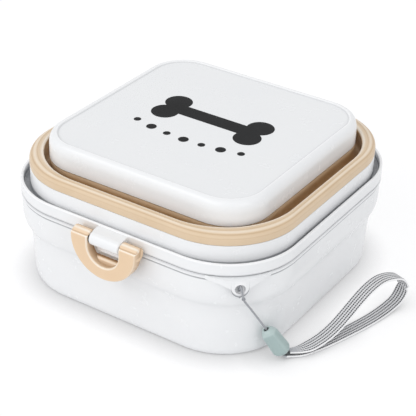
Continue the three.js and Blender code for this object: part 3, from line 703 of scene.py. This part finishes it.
def buildTubHinge():
    spans = [sorted((side * hinge["from"], side * hinge["to"])) for side in (-1, 1)]
    bm = bmesh.new()
    for fromX, toX in spans:
        knuckle(bm, hinge, fromX, toX)
    addPiece("tubHingeBarrels", bm, whiteShell, "tub")
    slant = hinge["radius"] * sqrt(0.5)
    webTop = tub["top"] - 0.3
    section = [(hinge["inY"], tub["top"] - hinge["webDrop"] - 2.6), (74.8, tub["top"] - hinge["webDrop"]),
               (hinge["y"] + slant, hinge["z"] - slant), (hinge["y"], webTop), (hinge["inY"], webTop)]
    bm = bmesh.new()
    for fromX, toX in spans:
        prismAlongX(bm, section, fromX + 0.15, toX - 0.15)
    addPiece("tubHingeWebs", bm, whiteShell, "tub", bevel=0.4)


catch = {"half": 7.5, "root": -73.2, "shell": -75, "front": -77.5, "top": 46.2, "foot": 41.6, "round": 0.8,
         "topSlant": 2.5, "footSlant": (0.4, 2.2)}


def buildCatch():
    top, foot, front, soft = catch["top"], catch["foot"], catch["front"], catch["round"]
    inset, drop = catch["footSlant"]
    section = [(catch["root"], foot - drop), (catch["root"], top), (catch["shell"], top),
               (front, top - catch["topSlant"]), (front, foot + soft), (front + soft, foot),
               (catch["shell"] + inset, foot)]
    bm = bmesh.new()
    # shade -1 paints the whole catch lighter, against the shade under the barrel
    prismAlongX(bm, section, -catch["half"], catch["half"], shade=-1)
    addPiece("latchCatch", bm, whiteShell, "tub", bevel=0.3)


def bellFoot(s):  # lower edge of the lug at a place across it
    s = abs(s)
    if s <= lug["eyeRadius"]:
        return lug["eyeHeight"] - sqrt(max(lug["eyeRadius"] ** 2 - s ** 2, 0))
    ends = ((lug["eyeRadius"], lug["eyeHeight"]), (lug["neckSpread"], lug["neckHeight"]),
            (lug["neckSpread"], lug["shelfFoot"]), (lug["spread"], lug["shelfFoot"]))

    def along(t, k):
        shares = ((1 - t) ** 3, 3 * t * (1 - t) ** 2, 3 * t * t * (1 - t), t ** 3)
        return sum(share * end[k] for share, end in zip(shares, ends))

    low, high = 0.0, 1.0
    for _ in range(30):
        middle = (low + high) / 2
        low, high = (middle, high) if along(middle, 0) < s else (low, middle)
    return along(low, 1)


def buildLug():
    turn = radians(lug["bearing"])
    outer = lug["cornerRadius"] + lug["proud"]
    sag = outer - sqrt(lug["cornerRadius"] ** 2 - lug["spread"] ** 2)
    faceRadius = (lug["spread"] ** 2 + sag ** 2) / (2 * sag)
    outwards = Vector((cos(turn), sin(turn), 0))
    sideways = Vector((-sin(turn), cos(turn), 0))
    centre = Vector((lug["cornerCentre"], -lug["cornerCentre"], 0)) + outwards * (outer - faceRadius)

    def place(s, z, depth):
        angle = asin(max(-1, min(1, s / faceRadius)))
        radius = faceRadius - depth
        return (centre + outwards * radius * cos(angle) + sideways * radius * sin(angle)
                + Vector((0, 0, z))) * mm

    hole, eye = lug["holeRadius"], lug["eyeRadius"]
    cuts = [radius * sin(radians(a)) for radius in (hole, eye) for a in range(-90, 91, 10)]
    cuts += [k * 0.6 for k in range(-25, 26) if abs(k * 0.6) > eye]
    cuts = sorted({round(v, 4) for v in cuts})
    bm = bmesh.new()
    tone = bm.verts.layers.float.new("tone")
    spots = {}

    # the dark is painted shade under the eye's lower edge, the light is painted light on the hole's lower half
    def shade(s, z):  # dark along the eye's lower edge, light round the lower half of the hole
        if abs(hypot(s, z - lug["eyeHeight"]) - hole) < 0.01:
            return -0.9
        if abs(s) > eye or z > bellFoot(s) + lug["footLine"] + 0.01:
            return 0
        return 1 if z < bellFoot(s) + 0.01 else 0.6

    def corner(s, z, depth):
        key = (round(s, 4), round(z, 4), depth)
        if key not in spots:
            spots[key] = bm.verts.new(place(s, z, depth))
            spots[key][tone] = shade(s, z)
        return spots[key]

    def column(s, part):  # the two ends of a strip at a place across the lug
        rise = sqrt(max(hole ** 2 - s ** 2, 0)) if abs(s) <= hole else 0
        if part == "under":
            return bellFoot(s), lug["eyeHeight"] - rise
        return (lug["eyeHeight"] + rise if abs(s) <= hole else bellFoot(s)), lug["top"]

    gaps = list(zip(cuts, cuts[1:]))
    strips = [(a, b, "over") for a, b in gaps]
    strips += [(a, b, "under") for a, b in gaps if abs(a) <= hole and abs(b) <= hole]
    beside = {gap for gap in gaps if all(hole <= abs(v) <= eye + 1e-3 for v in gap)}

    def quad(points, depth):
        unique = list(dict.fromkeys(corner(s, z, depth) for s, z in points))
        if len(unique) > 2:
            bm.faces.new(unique)

    for a, b, part in strips:
        (la, ha), (lb, hb) = column(a, part), column(b, part)
        if part == "over" and (a, b) in beside:
            la, lb = bellFoot(a), bellFoot(b)
        atEye = max(abs(a), abs(b)) <= eye + 1e-3 and (la, lb) == (bellFoot(a), bellFoot(b))
        line = lug["footLine"] if atEye else 0
        for depth in (0, lug["thickness"]):
            # these strips carry the painted shade along the eye's lower edge
            if line:  # two narrow strips along the eye's lower edge
                quad([(a, la), (b, lb), (b, lb + line), (a, la + line)], depth)
                quad([(a, la + line), (b, lb + line), (b, lb + 2 * line), (a, la + 2 * line)], depth)
            quad([(a, la + 2 * line), (b, lb + 2 * line), (b, hb), (a, ha)], depth)
    bmesh.ops.recalc_face_normals(bm, faces=bm.faces)
    rims = [e for e in bm.edges if len(e.link_faces) == 1]
    behind = {vert: spots.get((s, z, lug["thickness"])) for (s, z, depth), vert in spots.items() if depth == 0}
    for e in rims:
        v, w = e.verts
        if behind.get(v) and behind.get(w):
            bm.faces.new((v, w, behind[w], behind[v]))
    piece = addPiece("lanyardLug", bm, whiteShell, "tub", bevel=lug["edgeRound"], bevelSteps=3)
    return piece, centre, faceRadius, outwards, sideways


def buildLugShelf(centre, faceRadius, outwards, sideways):
    # fills the place between the tub's flange and the lug
    bm = bmesh.new()
    inner = lug["cornerRadius"] - 1.2
    middle = Vector((lug["cornerCentre"], -lug["cornerCentre"], 0))
    plan = []
    for i in range(25):
        s = lug["spread"] * (i / 12 - 1)
        angle = asin(max(-1, min(1, s / faceRadius)))
        plan.append(centre + (outwards * cos(angle) + sideways * sin(angle)) * (faceRadius - 0.3))
    for i in range(24, -1, -1):
        angle = asin(lug["spread"] * (i / 12 - 1) / lug["cornerRadius"])
        plan.append(middle + (outwards * cos(angle) + sideways * sin(angle)) * inner)
    heights = (lug["shelfFoot"], lug["top"] - 0.05)
    skinLoops(bm, [addLoop(bm, [p + Vector((0, 0, z)) for p in plan]) for z in heights], caps=True)
    return addPiece("lanyardLugShelf", bm, whiteShell, "tub")


tubPiece = buildTub()
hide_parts("food_tub")
buildTubHinge()
buildCatch()
lugPiece, *lugFace = buildLug()
buildLugShelf(*lugFace)
print("tub built")


# Bowl rim, which is the lid's half of the case

rim = {
    "band": (75, 37.8), "foot": 48.5, "top": 54.6, "lip": 1.4, "lipRound": 0.5, "moat": 50.6, "wall": (71.8, 38.0),
    "wallTop": 61.4, "wallThick": 1.8, "plug": (71.5, 34.3), "plugThick": 1.8, "plugFoot": 43.6, "edge": 0.3,
    "sealFrom": 44.2, "sealTo": 46.2, "sealDepth": 0.9, "webInset": 1.3,
}


def buildRim():
    band, wall, plug = rim["band"], rim["wall"], rim["plug"]
    foot, top, moat, wallTop = rim["foot"], rim["top"], rim["moat"], rim["wallTop"]
    lipIn, wallIn = inwards(band, rim["lip"]), inwards(wall, rim["wallThick"])
    plugIn, seal = inwards(plug, rim["plugThick"]), inwards(plug, rim["sealDepth"])
    bm = bmesh.new()
    loftSquare(bm, roundedProfile([
        # the fifth number is a tone: painted shade at the band's foot, in the moat and low on the wall, a painted
        # highlight on the lip and a little higher up the wall
        (*band, foot, rim["edge"], 0.3),
        (*band, foot + 0.9),
        (*band, top - 0.9),
        (*band, top, rim["lipRound"], -0.7),
        (*lipIn, top, rim["lipRound"], -0.5),
        (*lipIn, top - 1),
        (*lipIn, moat, 0.6, 0.8),
        (*wall, moat, 0.6, 0.8),
        (*wall, moat + 2.3, 0, 0.6),
        (*wall, moat + 3.1, 0, -0.45),
        (*wall, moat + 6.4, 0, -0.2),
        (*wall, wallTop - 0.6),
        (*wall, wallTop, 0.25),
        (*wallIn, wallTop, 0.25),
        (*wallIn, moat),
        (*plugIn, foot),
        (*plugIn, rim["plugFoot"], 0.4),
        (*plug, rim["plugFoot"], 0.7),
        (*plug, rim["sealFrom"]),
        (*seal, rim["sealFrom"]),
        (*seal, rim["sealTo"]),
        (*plug, rim["sealTo"]),
        (*plug, foot),
        (*inwards(band, 1.3), foot),
        (*inwards(band, 0.8), foot, 0, 0.5),
    ], closed=True), closed=True)
    return addPiece("rimShell", bm, whiteShell, "lid", sharp=50)


latch = {
    "y": -79.6, "z": 50.1, "radius": 3.4, "bore": 1.5, "endRound": 0.45, "rimHalf": 8.6, "half": 18.2,
    "windowHalf": 8.9, "windowZ": 47.4, "back": -78.0, "front": -83.45, "edge": 0.7, "windowEdge": 0.95,
    "plateTop": 51.9, "plateRound": 0.85, "hookTop": 41.2, "hookFront": -81.0, "pinEnd": 16.4, "rimEndRound": 1.3,
    # turns in degrees and spreads of the barrels' painted highlight streak and painted shade lines
    "streak": (108, 20), "backLine": (62, 16), "grooveLine": (150, 12),
    # hookStep gives (draw back, drop, tone): the tones paint shade under the catch and a highlight on the hook's
    # edge
    "hookStep": [(0, 0, 1), (0.7, 0, 1), (1.2, 0.15, 0.6), (1.6, 0.5, -0.3), (1.9, 0.9, -0.5), (2.3, 1.4, 0.35)],
}


def buildRimKnuckles():
    shell, root = rim["band"][0], rim["band"][0] - rim["webInset"]
    for name, side, spec in (("rimLatchBarrel", -1, latch), ("rimHingeBarrel", 1, hinge)):
        half, y, z = spec["rimHalf"], spec["y"], spec["z"]
        bm = bmesh.new()
        knuckle(bm, dict(spec, endRound=spec.get("rimEndRound", spec["endRound"])), -half, half)
        addPiece(name, bm, whiteShell, "lid")
        section = [(side * root, rim["foot"] + 0.3), (side * shell, rim["foot"] + 0.3), (y, z),
                   (y, z + spec["radius"]), (side * shell, rim["top"] - 0.5), (side * root, rim["top"] - 0.6)]
        bm = bmesh.new()
        prismAlongX(bm, section, 0.15 - half, half - 0.15)
        addPiece(name.replace("Barrel", "Web"), bm, whiteShell, "lid", bevel=0.35)


rimPiece = buildRim()
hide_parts("bowl_rim")
buildRimKnuckles()
print("rim built")


# Latch

def latchPath(count=36):
    # places along the U's outer and inner edge from its left top to its right top, and how far its front draws back
    outer, inner, draw = [], [], []
    straight = latch["z"] - latch["windowZ"]
    inLength = 2 * straight + pi * latch["windowHalf"]
    for i in range(count + 1):
        t = i / count
        turn = pi * (1 + t)
        outer.append((latch["half"] * cos(turn), latch["z"] + latch["half"] * sin(turn)))
        run = t * inLength
        if run < straight:
            inner.append((-latch["windowHalf"], latch["z"] - run))
        elif run > inLength - straight:
            inner.append((latch["windowHalf"], latch["z"] - (inLength - run)))
        else:
            turn = pi + (run - straight) / latch["windowHalf"]
            inner.append((latch["windowHalf"] * cos(turn), latch["windowZ"] + latch["windowHalf"] * sin(turn)))
        draw.append(0)
    soft = latch["plateRound"]
    for k in range(7):  # the legs' rounded tops, standing proud of the barrels
        a = radians(15 * k)
        z, back = latch["plateTop"] - soft * (1 - sin(a)), soft * (1 - cos(a))
        outer = [(-latch["half"], z)] + outer + [(latch["half"], z)]
        inner = [(-latch["windowHalf"], z)] + inner + [(latch["windowHalf"], z)]
        draw = [back] + draw + [back]
    return outer, inner, draw


# paints a highlight streak along the top and shade lines where the barrel meets rim and plate
def barrelShade(turn):  # a bright streak along the top and shaded lines where the barrel meets rim and plate
    streak, back, groove = (max(0, 1 - abs(turn - middle) / spread)
                            for middle, spread in (latch["streak"], latch["backLine"], latch["grooveLine"]))
    return 0.75 * back + 0.8 * groove - streak


def buildLatchBody(steps=4):
    back, edge = latch["back"], latch["edge"]
    bm = bmesh.new()
    loops = []
    for (ox, oz), (ix, iz), drawn in zip(*latchPath()):
        width = hypot(ox - ix, oz - iz)
        front = latch["front"] + drawn
        lifted = 0.9 * sin(pi * min(drawn / latch["plateRound"], 1))
        points, tones = [], []
        # the section's round corners: outer front, inner front, inner back and outer back
        for cx, cy, soft, start, paintedLight in ((0, front, edge, 180, 0.35), (width, front, latch["windowEdge"], 270, 0.8),
                                          (width, back, edge, 0, -1), (0, back, edge, 90, -0.55)):
            middle = cx + (soft if cx == 0 else -soft), cy + (soft if cy == front else -soft)
            for k in range(steps + 1):
                a = radians(start + 90 * k / steps)
                share = (middle[0] + soft * cos(a)) / width
                points.append((ox + (ix - ox) * share, middle[1] + soft * sin(a), oz + (iz - oz) * share))
                # paintedLight above zero paints a highlight along the front edges' roundings, and lifted one on the
                # legs' rounded tops; below zero it paints shade along the sides
                if paintedLight > 0:
                    tones.append(-paintedLight * sin(pi * k / steps) - lifted)
                else:  # shaded sides, clean back face
                    tones.append(-paintedLight * (k / steps if cx == 0 else 1 - k / steps))
        loops.append(addLoop(bm, points, tones))
    skinLoops(bm, loops, caps=True)
    return addPiece("latchBody", bm, beigePlastic, "latch", sharp=50)


def buildLatchBarrels():
    near, far, end, centre = latch["windowHalf"], latch["half"] - 0.06, latch["pinEnd"], 0.02
    bm = bmesh.new()
    knuckle(bm, latch, -far, -near, barrelShade)
    closed = [(far, centre), (end, centre), (end, latch["bore"])]  # over the pin's end
    knuckle(bm, latch, near, far, barrelShade, closed)
    addPiece("latchBarrels", bm, beigePlastic, "latch")


def buildLatchHook(steps=24):
    reach = latch["windowHalf"] + latch["edge"]
    drop = latch["windowZ"] - latch["hookTop"]
    limit = sqrt(reach ** 2 - drop ** 2)
    top, back, front = latch["hookTop"], latch["back"] + 0.02, latch["hookFront"]
    bm = bmesh.new()
    loops = []
    for i in range(steps + 1):
        x = limit * (i / (steps / 2) - 1) * 0.995
        foot = latch["windowZ"] - sqrt(reach ** 2 - x ** 2)
        # tones paint shade in the dark line under the catch and over the hook, and a highlight on its rounded edge
        section = [(back, foot, 1)] + [(back - inset, top - low, tone) for inset, low, tone in latch["hookStep"]]
        section += [(front + 0.1, top - 2.2, 0.6), (front, top - 2.9, 0.7), (front, foot, 0.8)]
        loops.append(addLoop(bm, [(x, y, max(z, foot)) for y, z, _ in section], [tone for _, _, tone in section]))
    skinLoops(bm, loops, caps=True)
    bmesh.ops.remove_doubles(bm, verts=bm.verts, dist=1e-6)
    addPiece("latchHook", bm, beigePlastic, "latch", sharp=60)


latchPiece = buildLatchBody()
buildLatchBarrels()
buildLatchHook()
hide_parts("latch")
print("latch built")


# Folded silicone wall

# the fourth number, where given, is a tone: painted highlights on the crown and the lip, painted shade in the
# crease, groove, seam, the valley's slope and the cuff beside the base
fold = {
    "side": [(71.8, 38, 61.7), (71.8, 38, 62.3), (71.8, 38, 64.2), (71.78, 37.98, 64.55)],
    "crease": [(71.65, 37.86, 64.8, 0.14), (71.65, 37.88, 64.95, 0.12), (71.68, 37.92, 65.15)],
    "arch": [(71.55, 37.86, 65.6, -0.05), (71.3, 37.8, 66.05, 0), (71.02, 37.76, 66.36, 0.1)],
    "groove": [(70.82, 37.68, 66.44, 0.34), (70.68, 37.66, 66.54, 0.3), (70.55, 37.7, 66.74, 0.05)],
    "crown": [(70.2, 37.7, 67.0, -0.4), (69.8, 37.74, 67.2, -0.6), (69.4, 37.78, 67.32, -0.3), (69.15, 37.8, 67.38)],
    "seam": (68.95, 37.8, 67.3, 0.3),
    "lip": [(68.76, 37.86, 67.44), (68.4, 37.92, 67.52), (67.95, 38.0, 67.54, -0.3), (67.5, 38.15, 67.46, -0.9),
            (67.2, 38.25, 67.26, -1), (67.0, 38.33, 66.95, -0.8), (66.9, 38.37, 66.5, 0.3), (66.88, 38.4, 65.9, 1)],
    "slope": [(66.85, 38.1, 65.2, 0.8), (66.7, 37.2, 63.8, 0.4), (66.5, 36.0, 62.2, 0.35), (66.2, 34.2, 60.2, 0.35),
              (65.7, 32.6, 58.9, 0.4), (65.0, 30.9, 58.0, 0.45), (64.1, 29.2, 57.55, 0.5)],
    "valley": (63.15, 27.75, 57.4, 0.5),
    "cuff": [(60.1, 21.5, 60.2, 0.75), (60.1, 21.5, 61.8, 0.8), (60.1, 21.5, 62.8, 0.7), (60.1, 21.5, 63.6, 0.35),
             (60.1, 21.5, 64.8, 0.12), (60.0, 21.4, 65.1, 0.5)],
    "underSeam": (68.7, 37.0, 65.7), "underValley": (63.15, 27.75, 55.8),
    "clampBack": [(69.95, 36.4, 65.2), (70.0, 36.2, 64.4), (70.0, 36.2, 61.7)],
    "underBend": ((64.9, 29.6, 55.8), (66.4, 32.4, 57.2)),
    "underRise": ((67.4, 34.2, 59.0), (67.9, 35.4, 61.5), (68.2, 36.6, 64.2)),
    "cuffBend": ((62.2, 26.0, 57.42, 0.5), (60.2, 21.8, 57.6, 0.6)),
    "cuffBack": [(58.9, 20.3, 65.1), (58.9, 20.3, 62.0)], "cuffUnder": ((58.9, 20.3, 60.0), (59.0, 20.4, 55.9)),
}


def stations(*names):
    spots = [spot for name in names for spot in (fold[name] if isinstance(fold[name], list) else [fold[name]])]
    return [station(*spot) for spot in spots]


def buildFold():
    valley, underValley = fold["valley"], fold["underValley"]
    outer = stations("side", "crease", "arch", "groove", "crown", "seam", "underSeam", "clampBack")
    middle = stations("seam", "lip", "slope", "valley") + curve(underValley, *fold["underBend"], 5)
    middle += curve(*fold["underRise"], 4) + stations("underSeam")
    inner = stations("valley") + curve(*fold["cuffBend"], fold["cuff"][0], 7) + stations("cuff")[1:]
    inner += stations("cuffBack") + curve(*fold["cuffUnder"], underValley, 6)
    pieces = []
    for name, profile, body in (("foldOuter", outer, "lid"), ("foldMiddle", middle, None),
                                ("foldInner", inner, "bowl_bottom")):
        bm = bmesh.new()
        loftSquare(bm, profile, closed=True)
        pieces.append(addPiece(name, bm, beigeSilicone, body, sharp=60))
    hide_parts("fold_wall")
    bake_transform(pieces[1])


buildFold()
print("fold built")


# Bowl bottom, which is the top of the closed case

base = {
    "half": 60.1, "corner": 21.5, "recess": 1.5, "cuffTop": 65.4, "skirt": 59.2, "shoulder": 72.6, "top": 77.9,
    "inset": 3.2, "rimWidth": 0.9, "rimHeight": 0.7, "wall": 1.8, "ceiling": 75.4, "ceilingRound": 4,
    "stepTop": 68.6, "stepFoot": 67.0,
}


def buildBase():
    half, corner = base["half"], base["corner"]
    recess, wall, inset = base["recess"], base["wall"], base["inset"]
    top, width, deep = base["top"], base["rimWidth"], base["rimHeight"]
    inner = recess + wall

    def at(distance, z, *more):
        return (half - distance, corner - distance, z, *more)

    profile = roundedProfile([
        at(inner + 6, base["ceiling"]),
        at(wall, base["ceiling"], base["ceilingRound"]),
        at(wall, base["stepTop"]),
        at(inner, base["stepFoot"]),
        at(inner, base["skirt"], 0.3),
        at(recess, base["skirt"], 0.3),
        at(recess, base["cuffTop"]),
        # tones from here up paint shade at the cuff and painted light on the lower side of the wall
        at(0, base["cuffTop"], 0.25, 0.15),
        at(0, base["cuffTop"] + 0.8, 0, -0.4),
        at(0, base["cuffTop"] + 3.6, 0, -0.6),
        at(0, base["shoulder"] - 1),
    ], steps=6)
    # the negative tones from the shoulder to the top's rim paint a highlight along the crest, and the small positive
    # ones painted shade on the step just inside it
    profile += curve(at(0, base["shoulder"]), at(0.15, top - 0.5), at(inset - 0.2, top - 0.06, -0.2), 12)
    profile += [station(*spot) for spot in (
        at(inset + 0.1, top + 0.02, -0.8), at(inset + width * 0.45, top + 0.02, -0.9),
        at(inset + width * 0.8, top - 0.12, -0.3), at(inset + width + 0.1, top - deep + 0.2, 0.22),
        at(inset + width + 0.35, top - deep, 0.2), at(inset + width + 0.8, top - deep, 0.03),
        at(inset + width + 1.6, top - deep))]
    bm = bmesh.new()
    loftSquare(bm, profile)
    return addPiece("baseShell", bm, whiteShell, "bowl_bottom", sharp=60)


motif = {"boneHalf": 24, "lobe": 7.0, "lobeOffset": 6.1, "lobeSteps": 22, "bar": 4.6, "centre": (0, 6), "dots": 7,
         "dotRadius": 2.6, "dotSmall": 0.72, "dotSteps": 24, "dotSpacing": 10, "dotDrop": 25, "dotSag": 0.45,
         "thick": 0.04, "sunk": 0.05}


def buildMotif():
    # plain bone over a row of kibble dots, pad printed on the middle of the top
    bar, lobe, off, reach = motif["bar"], motif["lobe"], motif["lobeOffset"], motif["boneHalf"]
    start = degrees(atan2(bar - off, -sqrt(lobe ** 2 - (off - bar) ** 2))) % 360
    finish = degrees(atan2(-off, sqrt(lobe ** 2 - off ** 2)))
    turns = [start + (finish - start) * i / motif["lobeSteps"] for i in range(motif["lobeSteps"] + 1)]
    arc = [(reach + lobe * cos(radians(a)), off + lobe * sin(radians(a))) for a in turns]
    half = arc + [(x, -y) for x, y in reversed(arc[:-1])]
    shapes = [half + [(-x, -y) for x, y in half]]
    around = [2 * pi * k / motif["dotSteps"] for k in range(motif["dotSteps"])]
    for i in range(motif["dots"]):
        place = i - (motif["dots"] - 1) / 2
        x, y = place * motif["dotSpacing"], motif["dotSag"] * place ** 2 - motif["dotDrop"]
        radius = motif["dotRadius"] * (1 if i % 2 else motif["dotSmall"])
        shapes.append([(x + radius * cos(turn), y + radius * sin(turn)) for turn in around])
    bm = bmesh.new()
    ground = base["top"] - base["rimHeight"]
    cx, cy = motif["centre"]
    for shape in shapes:
        heights = (ground - motif["sunk"], ground + motif["thick"])
        skinLoops(bm, [addLoop(bm, [(cx + x, cy + y, z) for x, y in shape]) for z in heights], caps=True)
    return addPiece("topPrint", bm, blackInk, "bowl_bottom")


basePiece = buildBase()
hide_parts("bowl_base")
buildMotif()
for name, made in (("hinge_pin", steel), ("latch_pin", steel), ("seal_ring", paleSeal)):
    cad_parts[name].material_slots[0].material = made
print("base built")


# Floor, lamps and world

studio = {
    "floorColour": "EEEEEF", "floorSeen": "8E8E90", "floorGlow": 0.77, "floorHalf": 3, "contactReach": 0.015,
    "contactShare": 0.7, "worldStrength": 0.79, "worldColour": (0.985, 0.99, 1.0), "lampAim": (0, 0, 0.04),
    "lamps": [
        ("keyPanel", (-1.107, -1.444, 1.565), 0.9, 4.8),
        ("frontPanel", (-0.29, -2.054, 1.208), 1.6, 10.0),
        ("sidePanel", (2.035, -0.838, 0.958), 1.2, 5.2),
    ],
}


def plainCameraRay(tree):  # 1 where the camera, a mirror or glass looks at it
    path = tree.nodes.new("ShaderNodeLightPath")
    seen = math2(tree, "MAXIMUM", path.outputs["Is Camera Ray"], path.outputs["Is Glossy Ray"])
    return math2(tree, "MAXIMUM", seen, path.outputs["Is Transmission Ray"])


def paperFloor():
    material, tree = emptyMaterial("paperFloor")
    shade = mixColour(tree, plainCameraRay(tree), colour(studio["floorColour"]), colour(studio["floorSeen"]))
    paper = node(tree, "ShaderNodeBsdfDiffuse", Color=shade)
    # ambient occlusion cuts the glow near the object: a painted contact shadow on the floor
    near = node(tree, "ShaderNodeAmbientOcclusion", samples=8, Distance=studio["contactReach"])
    shut = math2(tree, "MULTIPLY", math2(tree, "SUBTRACT", 1, near.outputs["AO"]), studio["contactShare"])
    lit = math2(tree, "MULTIPLY", math2(tree, "SUBTRACT", 1, shut), studio["floorGlow"])
    glow = node(tree, "ShaderNodeEmission", Color=(1, 1, 1, 1),
                Strength=math2(tree, "MULTIPLY", plainCameraRay(tree), lit))
    both = tree.nodes.new("ShaderNodeAddShader")
    join(both.inputs[0], paper.outputs["BSDF"])
    join(both.inputs[1], glow.outputs["Emission"])
    node(tree, "ShaderNodeOutputMaterial", Surface=both.outputs["Shader"])
    return material


def buildStudio():
    half = studio["floorHalf"]
    mesh = bpy.data.meshes.new("floor")
    mesh.from_pydata([(-half, -half, 0), (half, -half, 0), (half, half, 0), (-half, half, 0)], [], [(0, 1, 2, 3)])
    mesh.materials.append(paperFloor())
    floor = bpy.data.objects.new("floor", mesh)
    bpy.context.scene.collection.objects.link(floor)
    for name, place, size, power in studio["lamps"]:
        data = bpy.data.lights.new(name, "AREA")
        data.shape, data.size, data.energy = "SQUARE", size, power
        lamp = bpy.data.objects.new(name, data)
        lamp.location = place
        lamp.rotation_euler = (Vector(studio["lampAim"]) - Vector(place)).to_track_quat("-Z", "Y").to_euler()
        bpy.context.scene.collection.objects.link(lamp)
    world = bpy.data.worlds.new("studioAir")
    world.use_nodes = True
    bpy.context.scene.world = world
    tree, share = world.node_tree, studio["worldStrength"]
    lit = math2(tree, "MULTIPLY", plainCameraRay(tree), 1 - share)
    feed(tree.nodes["Background"], Color=(*studio["worldColour"], 1), Strength=math2(tree, "ADD", lit, share))
    bpy.context.scene.view_settings.view_transform = "Standard"


buildStudio()
print("studio lit")
